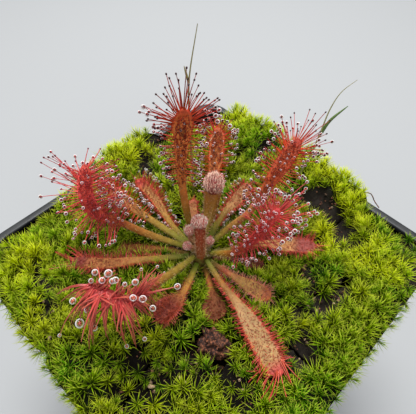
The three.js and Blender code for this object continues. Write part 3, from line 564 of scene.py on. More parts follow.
def shoot_room(place):
    """How tall a shoot may grow at a place, as a share, under the leaves that lie over it."""
    above = plant_above.ray_cast(place, Vector((0, 0, 1)), 4)[3]
    beside = plant_above.find_nearest(place + Vector((0, 0, 0.8)), 3)[3]
    return min(1, ((4 if above is None else above) - 0.2) / 2.3,
               0.25 + (3 if beside is None else beside) / 1.6)


def shoot_sources(bed):
    """The faces that shoots grow from: those that look up, and those that hang over the rim."""
    sources = []
    for face in bed.faces:
        middle = face.calc_center_median()
        hangs = max(abs(middle.x), abs(middle.y)) > inside_wall and face.normal.z > -0.3
        if face.normal.z > 0.3 or hangs:
            corners = [v.co.copy() for v in face.verts]
            sources.append((face.calc_area(), corners, face.normal.copy()))
    return sources


def grow_shoot(draw, sources, areas):
    """The points and marks of a shoot somewhere on a cushion, or None where it finds no room."""
    _, corners, normal = draw.choices(sources, areas)[0]
    a, b = draw.random(), draw.random()
    if a + b > 1:
        a, b = 1 - a, 1 - b
    place = corners[0] + (corners[1] - corners[0]) * a + (corners[2] - corners[0]) * b
    loose = looseness_and_front_shade(place.x, place.y)
    if colony.crowded(place, SHOOT["apart"] * (1 + 0.25 * loose)):
        return None
    bare = bareness(place.x, place.y)
    if draw.random() < thinning(place.x, place.y, loose) * bare:
        return None
    size = shoot_room(place) * draw.uniform(0.75, 1.2) * (1 - 0.4 * bare)
    if size < SHOOT["least"]:
        return None
    colony.add(place)
    sweep = Vector([noise.noise(place * 0.16 + Vector((shift,) * 3)) for shift in (11, 47, 83)])
    axis = (normal * 0.5 + Vector((0, 0, 0.7)) + sweep * 0.9
            + Vector(random_shift(draw, 0.2))).normalized()
    shape, shape_marks = draw.choice(shoot_kinds)
    turned = shape @ np.array(random_turn(draw, axis)).T
    for less in (1, 0.8, 0.62, 0.45):
        grown = turned * size * less + np.array(place - axis * 0.35)
        if all(grown[:, k].min() > allowed[k][0] and grown[:, k].max() < allowed[k][1]
               for k in range(3)):
            break
    else:
        return None
    lime_and_lit = lime_and_lit_share(place.x, place.y)
    light = (noise.noise(place * 0.11) * 0.7 + 0.25 * draw.uniform(-1, 1) - 0.25 * bare
             + 0.45 * lime_and_lit + 0.15 * loose - 0.1)
    # Blue: the leaf's own tone mixed with the painted light of the lime places.
    marks = np.column_stack([shape_marks[:, 0], np.full(len(shape), 0.5 + light),
                             0.6 * shape_marks[:, 1] + 0.4 * lime_and_lit])
    return grown, np.clip(marks, 0, 1)


def add_moss_bed(name, bed):
    """The cushion itself, roughened on top and sunk where it is bare."""
    bmesh.ops.subdivide_edges(bed, edges=bed.edges, cuts=2, use_grid_fill=True)
    bed.normal_update()
    # Marks: how bare each point is, and how deep the painted shade of the mix in front of the plant
    # is.
    marks = [(bareness(v.co.x, v.co.y), looseness_and_front_shade(v.co.x, v.co.y)) for v in bed.verts]
    for vertex, (bare, _) in zip(bed.verts, marks):
        if vertex.normal.z > 0:
            rough = noise.noise(vertex.co * 0.9) + 0.8 * noise.noise(vertex.co * 2.3)
            sunk = 0.5 + 0.35 * rough + 1.3 * bare
            vertex.co -= Vector((0, 0, sunk)) * min(1, 2 * vertex.normal.z)
    bed.verts.index_update()
    faces = [tuple(v.index for v in f.verts) for f in bed.faces]
    piece = add_piece(name + "_bed", [v.co for v in bed.verts], faces, moss_bed, "moss", [name],
                      {"bed": marks})
    ground.from_mesh(piece.data)


def add_moss(name, seed):
    """The shoots of a cushion, on the shape that the fixed frame gives it, and its bed."""
    draw = random.Random(seed)
    bed = bmesh.new()
    bed.from_mesh(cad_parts[name].data)
    bmesh.ops.scale(bed, vec=(1 / MM,) * 3, verts=bed.verts)
    bmesh.ops.remove_doubles(bed, verts=bed.verts, dist=1e-4)
    sources = shoot_sources(bed)
    areas = [area for area, _, _ in sources]
    shoots = Mesh()
    for _ in range(int(sum(areas) * SHOOT["tries"])):
        shoot = grow_shoot(draw, sources, areas)
        if shoot:
            shoots.add(*shoot, quads=shoot_quads, triangles=shoot_triangles)
    shoots.piece(name + "_shoots", moss_green, "moss", "shoot", [name])
    add_moss_bed(name, bed)
    bed.free()


for seed, name in enumerate(sorted(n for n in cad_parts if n.startswith("moss_"))):
    add_moss(name, 100 + seed)


# ---- leaf bodies ----
# Each sundew leaf is a hairy petiole that widens into a spoon of a blade, a soft living skin over a
# watery flesh. They leave the crown on four levels, the youngest highest.
crown_low, crown_high = (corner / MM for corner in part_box("crown"))
crown_middle = Vector(((crown_low.x + crown_high.x) / 2, (crown_low.y + crown_high.y) / 2, rim))
TIERS = (0.5, -0.8, -2.1, -3.4)
LEAF_ROOT = 2.6
PETIOLE = {"root_width": 1.1, "half_thick": 0.42}
BLADE = {"half_thick": 0.3, "cup": 0.16, "tip_from": 0.86}

# A route is in the leaf's own vertical plane: out from the crown's middle, across to the left, and
# up from the rim. The petiole widens into the blade from shoulder to full, as shares of the length,
# and roll turns the blade about its midrib. slim, spoon, fold and crumple shape the blade, which
# reddens from blush on. reach and tip_reach are its longest tentacles at the edge and at the tip,
# and spacing is how far apart they stand for their kind. fan_turn and tip_turn lean those at the tip
# to the left and down, droop bends all of them down, and clasp bends them over the blade. dew is the
# share with a drop, along the edges, at the tip and on the face. Colours run foot, petiole, blade,
# margin, tip.
LEAVES = [
    {"name": "leaf_tall", "tier": 0, "heading": 165, "petiole": 1.5, "blade": 3.3, "shoulder": 0.45,
     "full": 0.92, "roll": -20,
     "route": [(4.7, 0, 4), (7.5, -0.5, 13), (7.8, -1, 21.5), (7.5, -2, 31)],
     "reach": 4.9, "tip_reach": 7.4, "tip_turn": 12, "dew": (0.5, 0.02, 0.02), "fan": (48, 80),
     "spoon": 0.17, "spacing": 0.8,
     "colours": ("#7E7C22", "#C07034", "#F08C4A", "#D45230", "#C03E28")},
    {"name": "leaf_back_tall", "tier": 0, "heading": 70, "petiole": 1.4, "blade": 3.1,
     "shoulder": 0.45, "roll": 25,
     "route": [(5.9, 0, 3.5), (10.5, -0.8, 8.5), (16, 1, 14), (23.4, 4.6, 18)],
     "reach": 5, "tip_reach": 8, "tip_turn": 10, "dew": (0.8, 0.12, 0.06), "spacing": 0.75,
     "colours": ("#7C7E26", "#BE7846", "#AA4A22", "#962E1C", "#8C2016")},
    {"name": "leaf_right_arched", "tier": 0, "heading": 15, "petiole": 1.3, "blade": 2.6,
     "shoulder": 0.35, "roll": 60,
     "route": [(8, 0, 6), (10.9, 2.3, 11), (11.9, 4.6, 14), (12.7, 6.8, 15.5)],
     "reach": 5.4, "dew": (0.8, 0.8, 0.15), "kind": "crimson", "spacing": 0.75, "slim": 0.2,
     "colours": ("#80802C", "#A86A2A", "#C4483E", "#C83A3E", "#B83234")},
    {"name": "leaf_front_arched", "tier": 0, "heading": 283, "petiole": 1.4, "blade": 2.8,
     "shoulder": 0.45, "roll": -45,
     "route": [(10.5, 0, 6), (16, 0, 11), (20, 0, 14), (21, -2.8, 15), (21, -7, 13.5)],
     "reach": 4.5, "tip_reach": 5, "dew": (0.0, 0.0, 0.0), "droop": 0.75, "slim": 0.35,
     "kind": "drooping", "colours": ("#7D7A2C", "#98742E", "#A43230", "#A43032", "#A43032")},
    {"name": "leaf_left_arched", "tier": 0, "heading": 223, "petiole": 1.4, "blade": 3.0,
     "shoulder": 0.5, "roll": -45,
     "route": [(10, 0, 5), (15.2, 0.3, 10), (18.4, 1, 13.5), (19.9, -0.7, 17), (20.7, -5.9, 19)],
     "reach": 7.4, "tip_reach": 8, "tip_turn": 45, "fan_turn": -25, "dew": (0.7, 0.25, 0.06),
     "spacing": 0.62, "slim": 0.12, "skin": "crimson",
     "colours": ("#787A28", "#AC6A30", "#CC4C3C", "#CC3E42", "#B03A26")},
    {"name": "leaf_back_broad", "tier": 2, "heading": 127, "petiole": 1.4, "blade": 3.6,
     "shoulder": 0.4, "route": [(6.7, 0, 0), (15.3, -0.2, 2.5), (20.8, -0.3, 5), (27.5, 0, 9)],
     "reach": 4.6, "tip_reach": 4.8, "dew": (0.8, 0.5, 0.03), "spacing": 0.7,
     "colours": ("#6E7822", "#A8743A", "#B86E36", "#AC482A", "#A44022")},
    {"name": "leaf_left_raised", "tier": 1, "heading": 198, "petiole": 1.5, "blade": 2.7,
     "shoulder": 0.5, "route": [(9.7, 0, 2), (15.4, 0.3, 5), (22.2, -0.7, 7.5)],
     "reach": 3.8, "dew": (0.8, 0.7, 0.15),
     "colours": ("#767E2A", "#98782E", "#A56A38", "#A8443A", "#9A3430")},
    {"name": "leaf_left_coiled", "tier": 2, "heading": 183, "petiole": 1.4, "blade": 2.6,
     "shoulder": 0.4, "route": [(8.4, 0, 0), (14.6, -1, 3), (20.5, -1.1, 5)],
     "reach": 2.6, "dew": (0.3, 0.06, 0), "fold": 0.5, "clasp": 0.5, "kind": "dry", "spacing": 0.8,
     "blush": 0.82,
     "colours": ("#6C7A22", "#9E7E34", "#B08048", "#B03A34", "#B0222C")},
    {"name": "leaf_back_short", "tier": 1, "heading": 101, "petiole": 1.3, "blade": 3.2,
     "shoulder": 0.4, "route": [(8.3, 0, 2), (12.4, -0.9, 4), (16.4, -1.9, 6)],
     "reach": 2.4, "dew": (0.25, 0.12, 0), "kind": "dry", "spacing": 0.75,
     "colours": ("#667A20", "#8E7A30", "#A87A4C", "#A84A34", "#A04434")},
    {"name": "leaf_right_long", "tier": 1, "heading": 344, "petiole": 1.3, "blade": 4.6,
     "shoulder": 0.3, "route": [(8.8, 0, 0), (14.6, 0.4, 1), (20.2, 0.4, 1.3), (28.7, 0.3, 0.5)],
     "reach": 2.4, "tip_reach": 6.4, "dew": (0, 0, 0), "fan": (16, 52), "fan_turn": -44,
     "blush": 0.86, "tip_turn": -14,
     "colours": ("#70762A", "#94602A", "#A48052", "#BA3C36", "#BC3440")},
    {"name": "leaf_front_low", "tier": 2, "heading": 237, "petiole": 1.5, "blade": 2.9,
     "shoulder": 0.35, "route": [(8.7, 0, -1), (13.1, 0, 0), (20, -0.3, 0.5), (27, -2.7, 0)],
     "reach": 2.6, "tip_reach": 5.4, "fan": (14, 34), "dew": (0, 0, 0), "blush": 0.78,
     "tip_turn": -8,
     "colours": ("#6C7A26", "#987A30", "#C47E46", "#B84E3C", "#7C2230")},
    {"name": "leaf_back_low", "tier": 2, "heading": 54, "petiole": 1.2, "blade": 3.8,
     "shoulder": 0.4,
     "route": [(7.8, 0, -2), (13.4, -0.2, -1), (19.1, -1.9, -0.4), (24.2, -3.4, 0)],
     "reach": 2.3, "tip_reach": 3.4, "dew": (0, 0, 0), "blush": 0.74, "tip_turn": -8,
     "colours": ("#7C8030", "#A88038", "#C89058", "#C05C4C", "#8E323E")},
    {"name": "leaf_right_low", "tier": 2, "heading": 4, "petiole": 1.2, "blade": 3.3,
     "shoulder": 0.35, "route": [(4.5, 0, -2), (10.2, 0.2, -1), (17.5, 1, -0.5)],
     "reach": 2.1, "dew": (0, 0, 0), "kind": "pale",
     "blush": 0.8, "colours": ("#74762A", "#B0583E", "#B48A48", "#C06C4C", "#A85432")},
    {"name": "leaf_front_folded", "tier": 2, "heading": 297, "petiole": 1.3, "blade": 4.5,
     "shoulder": 0.5, "route": [(8.4, 0, -0.6), (12.2, -0.4, 0.2), (17.3, -2.4, 0)],
     "reach": 1.9, "dew": (0, 0, 0), "fold": 0.6, "kind": "folded",
     "colours": ("#74902C", "#C08A3C", "#7A3224", "#8A342C", "#7A2822")},
    {"name": "leaf_front_withered", "tier": 3, "heading": 333, "petiole": 1.1, "blade": 4.0,
     "shoulder": 0.4, "route": [(5.3, 0, -3.2), (9.6, -0.5, -3), (14.6, -1.3, -2.5)],
     "reach": 1.4, "dew": (0, 0, 0), "crumple": 0.4, "slim": -0.2,
     "colours": ("#7A6428", "#C0703C", "#744426", "#7C4428", "#6A3A24")},
    {"name": "leaf_back_withered", "tier": 3, "heading": 38, "petiole": 1.0, "blade": 2.4,
     "shoulder": 0.4, "route": [(8.6, 0, -3.4), (13.8, -0.7, -3.4)],
     "reach": 0.9, "dew": (0, 0, 0), "crumple": 0.5,
     "colours": ("#6A3A28", "#5A2A20", "#4E2419", "#5E2A22", "#4A2018")},
    {"name": "leaf_left_withered", "tier": 3, "heading": 215, "petiole": 1.1, "blade": 2.4,
     "shoulder": 0.4, "route": [(9.1, 0, -3), (18.1, 2.3, -2.2)],
     "reach": 1.2, "dew": (0, 0, 0), "crumple": 0.3,
     "colours": ("#7C6A2E", "#9A6630", "#96582E", "#843426", "#6E2A20")},
    {"name": "leaf_left_small", "tier": 3, "heading": 146, "petiole": 1.0, "blade": 2.0,
     "shoulder": 0.4, "route": [(9, 0, -0.6), (12, -0.4, 1.6)],
     "reach": 1.4, "dew": (0, 0, 0),
     "colours": ("#6A7622", "#A07840", "#B87C50", "#B45040", "#A84838")},
]


CURVE_STEPS = 240


def curve_points(points, steps=40):
    """Points along a centripetal Catmull-Rom curve, evenly spaced by length, as an array, and its
    length."""
    points = [Vector(p) for p in points]
    ends = [points[0] * 2 - points[1], *points, points[-1] * 2 - points[-2]]
    dense = []
    for before, start, end, after in zip(ends, ends[1:], ends[2:], ends[3:]):
        gaps = [(b - a).length ** 0.5 for a, b in ((before, start), (start, end), (end, after))]
        lead = ((start - before) / gaps[0] - (end - before) / (gaps[0] + gaps[1])
                + (end - start) / gaps[1]) * gaps[1]
        follow = ((end - start) / gaps[1] - (after - start) / (gaps[1] + gaps[2])
                  + (after - end) / gaps[2]) * gaps[1]
        for i in range(steps):
            t = i / steps
            dense.append(start + lead * t + (end * 3 - start * 3 - lead * 2 - follow) * t ** 2
                         + (start * 2 - end * 2 + lead + follow) * t ** 3)
    dense = np.array([*dense, points[-1]])
    far = np.concatenate([[0], np.cumsum(np.linalg.norm(np.diff(dense, axis=0), axis=1))])
    even = np.linspace(0, far[-1], CURVE_STEPS + 1)
    return np.column_stack([np.interp(even, far, dense[:, k]) for k in range(3)]), far[-1]


def unit(vector):
    return vector / np.linalg.norm(vector)


def carried_frames(places, side):
    """Along, left and up at each place, with left carried along without twist from side."""
    frames = []
    for i in range(len(places)):
        along = unit(places[min(i + 1, len(places) - 1)] - places[max(i - 1, 0)])
        side = unit(side - along * (side @ along))
        frames.append((along, side, np.cross(along, side)))
    return frames


class Midrib:
    """The line of a leaf, with its axes and its width at any share of its length."""

    def __init__(self, leaf):
        angle = math.radians(leaf["heading"])
        out = np.array([math.cos(angle), math.sin(angle), 0])
        left = np.array([-math.sin(angle), math.cos(angle), 0])
        stops = [(LEAF_ROOT, 0, TIERS[leaf["tier"]]), *leaf["route"]]
        self.leaf = leaf
        self.places, self.length = curve_points(
            [np.array(crown_middle) + out * o + left * a + (0, 0, u) for o, a, u in stops])
        self.frames = []
        for i, (along, side, top) in enumerate(carried_frames(self.places, left)):
            turn = math.radians(leaf.get("roll", 0)) * smooth(i / CURVE_STEPS / leaf["shoulder"])
            self.frames.append((along, side * math.cos(turn) + top * math.sin(turn),
                                top * math.cos(turn) - side * math.sin(turn)))

    def at(self, share):
        i = round(min(1, max(0, share)) * CURVE_STEPS)
        return (self.places[i], *self.frames[i])

    def grown(self, share):
        """How far the petiole has widened into the blade."""
        shoulder, full = self.leaf["shoulder"], self.leaf.get("full", 0.8)
        return smooth((share - shoulder) / (full - shoulder))

    def half_width(self, share):
        root = PETIOLE["root_width"]
        rooted = root + (self.leaf["petiole"] - root) * smooth(share / 0.25)
        wide = rooted + (self.leaf["blade"] - rooted) * self.grown(share)
        tip = max(0, (share - BLADE["tip_from"]) / (1 - BLADE["tip_from"]))
        return 0.5 * wide * math.sqrt(max(0.01, 1 - tip * tip))


def leaf_skin(leaf):
    """Living leaf skin: waxy and a little see-through, green at the foot and red where the sun has
    reached it, with the dark feet of the tentacles dotted over the blade."""
    foot, petiole, blade, margin, tip = (hex_colour(text) for text in leaf["colours"])
    material, tree, shader = new_material("leaf_skin" + leaf["name"].removeprefix("leaf"))
    place = add_node(tree, "ShaderNodeTexCoord")
    mark, parts = read_mark(tree, "skin")
    run = add_node(tree, "ShaderNodeValToRGB", links={"Fac": (parts, "Red")})
    stops = run.color_ramp.elements
    stops[0].position, stops[0].color = 0.03, foot
    stops[1].position, stops[1].color = min(0.95, leaf["shoulder"] + 0.22), blade
    stops.new(leaf["shoulder"] * 0.8).color = petiole
    mottle = add_node(tree, "ShaderNodeTexNoise", {"Scale": 1 / (1.1 * MM), "Detail": 4.0},
                      {"Vector": (place, "Object")})
    edge_rough = add_node(tree, "ShaderNodeMath", {"operation": "MULTIPLY_ADD", 1: 0.5, 2: -0.25},
                          {0: (mottle, "Fac")})
    edge = add_node(tree, "ShaderNodeMath", {"operation": "ADD"},
                    {0: (parts, "Green"), 1: (edge_rough, 0)})
    edge_share = add_node(tree, "ShaderNodeMapRange", {"From Min": 0.5, "From Max": 0.92},
                          {"Value": (edge, 0)})
    edged = add_node(tree, "ShaderNodeMix", {"data_type": "RGBA", 7: margin},
                     {"Factor": (edge_share, "Result"), 6: (run, "Color")})
    tipped = add_node(tree, "ShaderNodeMix", {"data_type": "RGBA", 7: tip},
                      {"Factor": (parts, "Blue"), 6: (edged, 2)})
    dots = add_node(tree, "ShaderNodeTexVoronoi", {"Scale": 1 / (0.5 * MM)},
                    {"Vector": (place, "Object")})
    dot_share = add_node(tree, "ShaderNodeMapRange", {"From Min": 0.34, "From Max": 0.16,
                                                      "To Max": 0.4}, {"Value": (dots, "Distance")})
    on_blade = add_node(tree, "ShaderNodeMath", {"operation": "MULTIPLY"},
                        {0: (dot_share, "Result"), 1: (mark, "Alpha")})
    dotted = add_node(tree, "ShaderNodeMix", {"data_type": "RGBA", 7: hex_colour("#7A1A18")},
                      {"Factor": (on_blade, 0), 6: (tipped, 2)})
    tone = add_node(tree, "ShaderNodeMapRange", {"From Min": 0.3, "From Max": 0.7, "To Min": 0.78,
                                                 "To Max": 1.2}, {"Value": (mottle, "Fac")})
    toned = add_node(tree, "ShaderNodeHueSaturation",
                     links={"Color": (dotted, 2), "Value": (tone, "Result")})
    bump = add_node(tree, "ShaderNodeBump", {"Strength": 0.6, "Distance": 0.00015},
                    {"Height": (dots, "Distance")})
    withered = "crumple" in leaf
    set_shader(tree, shader, {"Base Color": (toned, "Color"), "Normal": (bump, "Normal")},
               Roughness=0.75 if withered else 0.58, IOR=1.42, Specular_IOR_Level=0.3,
               Subsurface_Weight=0.0 if withered else 0.08, Subsurface_Radius=(1.0, 0.3, 0.15),
               Subsurface_Scale=0.0005)
    return material


def leaf_slot(leaf):
    if "crumple" in leaf:
        return "withered_leaf"
    return "dewy_leaf" if leaf["dew"][0] or leaf.get("kind") == "drooping" else "old_leaf"


def add_leaf_body(rib, around=14, step=0.4):
    """Petiole and blade in one skin. Its marks are the share along it, how near the edge it is, how
    red its tip is, and how far it is blade."""
    leaf = rib.leaf
    rows = max(30, round(rib.length / step))
    rings, marks = [], []
    for r in range(rows + 1):
        share = r / rows
        place, _, left, top = rib.at(share)
        half, grown = rib.half_width(share), rib.grown(share)
        thick = PETIOLE["half_thick"] + (BLADE["half_thick"] - PETIOLE["half_thick"]) * grown
        thick *= min(1, half / 0.5)
        cup = (BLADE["cup"] + leaf.get("fold", 0)) * grown
        half *= 1 - leaf.get("slim", 0) * grown
        spoon = 2 * smooth((share - 0.78) / 0.12) - 1
        half *= 1 + leaf.get("spoon", 0) * spoon * grown
        blush = smooth((share - leaf.get("blush", 0.88)) / 0.12) * 0.85
        ring = []
        for i in range(around):
            angle = 2 * math.pi * i / around
            across, deep = math.cos(angle), math.sin(angle)
            rough = noise.noise(Vector(place * 0.9) + Vector((across, deep, 0)) * 0.9)
            crumple = leaf.get("crumple", 0) * grown * rough * 1.2
            ring.append(place + left * across * half * (1 + 0.05 * rough - 0.3 * abs(crumple))
                        + top * (deep * thick + cup * half * across * across + crumple))
            marks.append((share, abs(across) ** 2 * grown, blush, grown))
        rings.append(ring)
    points, faces = loft(rings)
    add_piece(leaf["name"] + "_blade", points, faces, leaf_skin(leaf), leaf_slot(leaf),
              [leaf["name"]], {"skin": marks})


ribs = [Midrib(leaf) for leaf in LEAVES]
for rib in ribs:
    add_leaf_body(rib)


# ---- tentacles ----
# Fine stalks on the blade, longest at its edges and tip, each with a gland at its end that holds a
# drop of clear glue. On old leaves they are short and dry.
def ball(cuts):
    """Points and triangles of a unit icosphere."""
    sphere = bmesh.new()
    bmesh.ops.create_icosphere(sphere, subdivisions=cuts, radius=1)
    points = np.array([v.co for v in sphere.verts])
    faces = np.array([[v.index for v in f.verts] for f in sphere.faces])
    sphere.free()
    return points, faces


BALLS = {cuts: ball(cuts) for cuts in (1, 2, 3)}
STALK_STOPS = np.array([0, 0.25, 0.5, 0.75, 1.0])
STALK_SIDES = 4
stalk_quads = np.array([(r * STALK_SIDES + i, r * STALK_SIDES + (i + 1) % STALK_SIDES,
                         (r + 1) * STALK_SIDES + (i + 1) % STALK_SIDES, (r + 1) * STALK_SIDES + i)
                        for r in range(len(STALK_STOPS) - 1) for i in range(STALK_SIDES)])
hair_quads = np.array([(i, (i + 1) % 3, (i + 1) % 3 + 3, i + 3) for i in range(3)])
hair_tip = np.array([(i + 3, (i + 1) % 3 + 3, 6) for i in range(3)])


def stalk_rings(root, way, bend, length, stops, radii, sides):
    """Points of the rings of a thin bent stalk."""
    side = unit(np.cross(way, (0.3, 0.5, 0.8)))
    other = np.cross(way, side)
    points = []
    for t, radius in zip(stops, radii):
        middle = root + (way * t + bend * t * t) * length
        for i in range(sides):
            angle = 2 * math.pi * i / sides
            points.append(middle + (side * math.cos(angle) + other * math.sin(angle)) * radius)
    return points


def add_stalk(mesh, root, way, bend, length, foot, neck, own):
    """Adds a stalk and returns where it ends and the way it points there."""
    radii = foot + (neck - foot) * STALK_STOPS ** 0.6
    points = stalk_rings(root, way, bend, length, STALK_STOPS, radii, STALK_SIDES)
    marks = np.column_stack([np.repeat(STALK_STOPS, STALK_SIDES), np.full(len(points), own),
                             np.zeros(len(points))])
    mesh.add(np.array(points), marks, quads=stalk_quads)
    return root + (way + bend) * length, unit(way + 2 * bend)


def add_hair(mesh, root, way, bend, length, foot, own, dark=0):
    """Adds a fine three-sided hair that ends in a point, and returns its end."""
    points = stalk_rings(root, way, bend, length, (0, 0.55), (foot, 0.72 * foot), 3)
    points.append(root + (way + bend) * length)
    marks = [(t, own, dark) for t in (0, 0, 0, 0.55, 0.55, 0.55, 1)]
    mesh.add(np.array(points), np.array(marks), quads=hair_quads, triangles=hair_tip)
    return points[-1]


def add_ball(mesh, middle, way, radius, long, cuts, own, dark=1.0):
    points, faces = BALLS[cuts]
    turn = np.array(Vector(way).to_track_quat("Z", "Y").to_matrix())
    shaped = (points * (radius, radius, radius * long)) @ turn.T + middle
    mesh.add(shaped, np.tile((1.0, own, dark), (len(points), 1)), triangles=faces)


def tentacle_skin(name, foot, stalk, gland):
    """Tentacle skin: a glassy stalk of a few cells' width that reddens upwards to a dark gland."""
    material, tree, shader = new_material(name)
    _, parts = read_mark(tree, "stalk")
    run = add_node(tree, "ShaderNodeMix", {"data_type": "RGBA", 6: hex_colour(foot),
                                           7: hex_colour(stalk)}, {"Factor": (parts, "Red")})
    tone = add_node(tree, "ShaderNodeMapRange", {"To Min": 0.6, "To Max": 1.35},
                    {"Value": (parts, "Green")})
    toned = add_node(tree, "ShaderNodeHueSaturation",
                     links={"Color": (run, 2), "Value": (tone, "Result")})
    ended = add_node(tree, "ShaderNodeMix", {"data_type": "RGBA", 7: hex_colour(gland)},
                     {"Factor": (parts, "Blue"), 6: (toned, "Color")})
    set_shader(tree, shader, {"Base Color": (ended, 2)}, Roughness=0.3, IOR=1.4)
    return material


TENTACLE_SKINS = {kind: tentacle_skin(kind + "_tentacle_skin", *colours) for kind, colours in {
    "fresh": ("#C4481E", "#A81C20", "#3C0C0C"),
    "crimson": ("#C8443A", "#C43A40", "#701420"),
    "drooping": ("#B03234", "#C46850", "#CA7840"),
    "dry": ("#BC5438", "#B4383A", "#6E2818"),
    "pale": ("#BC6048", "#D08A78", "#8A4030"),
    "folded": ("#A8442C", "#C86A4A", "#8A3024"),
    "withered": ("#8A4028", "#9A4A30", "#5A2014"),
}.items()}

# Sundew glue: a clear, watery sugar gel that beads round each gland. Its bright rim, where a real
# drop gathers the light of the whole room, is painted: the surface turns an opaque white towards its
# edge and clears towards the middle.
glue, tree, shader = new_material("clear_glue")
rim_light = add_node(tree, "ShaderNodeLayerWeight", {"Blend": 0.5})
clear = add_node(tree, "ShaderNodeMapRange", {"From Min": 0.18, "From Max": 0.55, "To Min": 1.0,
                                              "To Max": 0.05}, {"Value": (rim_light, "Facing")})
set_shader(tree, shader, {"Transmission Weight": (clear, "Result")},
           Base_Color=hex_colour("#FCF4F4"), Roughness=0.03, IOR=1.34)

# How tentacles stand on a blade: the steps along it, how many at each edge in a step, how far apart
# across the face, the foot's radius, the shortest and longest on the face as shares of the reach,
# how they lean from the face, how many fan out at the tip and how wide, where the rows start, and
# the radius of the gland where it shows.
HABITS = {
    "fresh": {"step": 0.42, "rows": 1, "apart": 0.5, "foot": 0.115, "face": (0.16, 0.34),
              "lean": (25, 85), "fan": (46, 72), "start": 0.0, "gland": 0.17},
    "crimson": {"step": 0.4, "rows": 1, "apart": 0.55, "foot": 0.115, "face": (0.2, 0.5),
                "lean": (40, 90), "fan": (46, 98), "start": 0.0, "gland": 0.17},
    "drooping": {"step": 0.6, "rows": 1, "apart": 1.0, "foot": 0.17, "face": (0.3, 0.8),
                 "lean": (0, 60), "fan": (14, 80), "start": 0.0, "gland": 0},
    "dry": {"step": 0.34, "rows": 2, "apart": 0.72, "foot": 0.15, "face": (0.3, 0.5),
            "lean": (12, 55), "fan": (22, 75), "start": -0.12, "gland": 0},
    "pale": {"step": 0.26, "rows": 2, "apart": 0.45, "foot": 0.1, "face": (0.3, 0.5),
             "lean": (25, 80), "fan": (26, 85), "start": -0.15, "gland": 0},
    "folded": {"step": 0.3, "rows": 2, "apart": 0.4, "foot": 0.1, "face": (0.6, 1.0),
               "lean": (30, 80), "fan": (26, 95), "start": -0.2, "gland": 0},
    "withered": {"step": 0.3, "rows": 2, "apart": 0.4, "foot": 0.09, "face": (0.7, 1.1),
                 "lean": (30, 80), "fan": (22, 95), "start": -0.2, "gland": 0},
}
# On a dewy blade, tentacles keep nearer the edge, vary more in length and lift less than on others.
DEWY = {"inner": 0.88, "shortest": 0.45, "tilt": (-20, 40)}
DRY = {"inner": 0.72, "shortest": 0.65, "tilt": (-5, 50)}


def tentacle_kind(leaf):
    if "crumple" in leaf:
        return "withered"
    return leaf.get("kind", "fresh" if leaf["dew"][0] else "dry")


def tentacle_sites(rib, kind, draw):
    """Where tentacles stand: share along the leaf, share of the half width, angle from the way
    ahead to the left and tilt up from the blade in degrees, length, and whether at the edge."""
    leaf, habit = rib.leaf, HABITS[kind]
    reach, tip_reach = leaf["reach"], leaf.get("tip_reach", leaf["reach"])
    dewy = kind in ("fresh", "crimson", "drooping")
    edge = DEWY if dewy else DRY
    start = leaf["shoulder"] + habit["start"]
    step = habit["step"] * leaf.get("spacing", 1) / rib.length
    sites = []
    share = start
    while share < 0.955:
        late = 0.55 + 0.45 * rib.grown(share)
        if dewy:
            late = 0.62 + 0.45 * (share - start) / (1 - start)
        for side in (-1, 1) * habit["rows"]:
            turn = 96 - 36 * smooth((share - 0.6) / 0.4) + draw.uniform(-14, 14)
            long = reach * 0.8 * late * draw.uniform(edge["shortest"], 1.1)
            sites.append((share + draw.uniform(-0.5, 0.5) * step,
                          side * draw.uniform(edge["inner"], 1), side * turn,
                          draw.uniform(*edge["tilt"]), long, True))
        across = max(1, round(2 * rib.half_width(share) / habit["apart"]))
        for i in range(across):
            place = (i + draw.uniform(0.1, 0.9)) / across * 1.7 - 0.85
            sites.append((share + draw.uniform(0, 1) * step, place, draw.uniform(-180, 180),
                          draw.uniform(*habit["lean"]),
                          reach * draw.uniform(*habit["face"]) * (0.6 + 0.6 * abs(place)) * late,
                          False))
        share += step
    count, spread = leaf.get("fan", habit["fan"])
    for i in range(count):
        across = (i + draw.uniform(0.2, 0.8)) / count * 2 - 1
        sites.append((0.97 - 0.06 * abs(across) + draw.uniform(-0.025, 0.012), across,
                      across * spread + leaf.get("fan_turn", 0),
                      draw.uniform(-26, 26) - leaf.get("tip_turn", 0),
                      tip_reach * (1 - 0.25 * abs(across)) * draw.uniform(0.55, 1.05), True))
    return sites


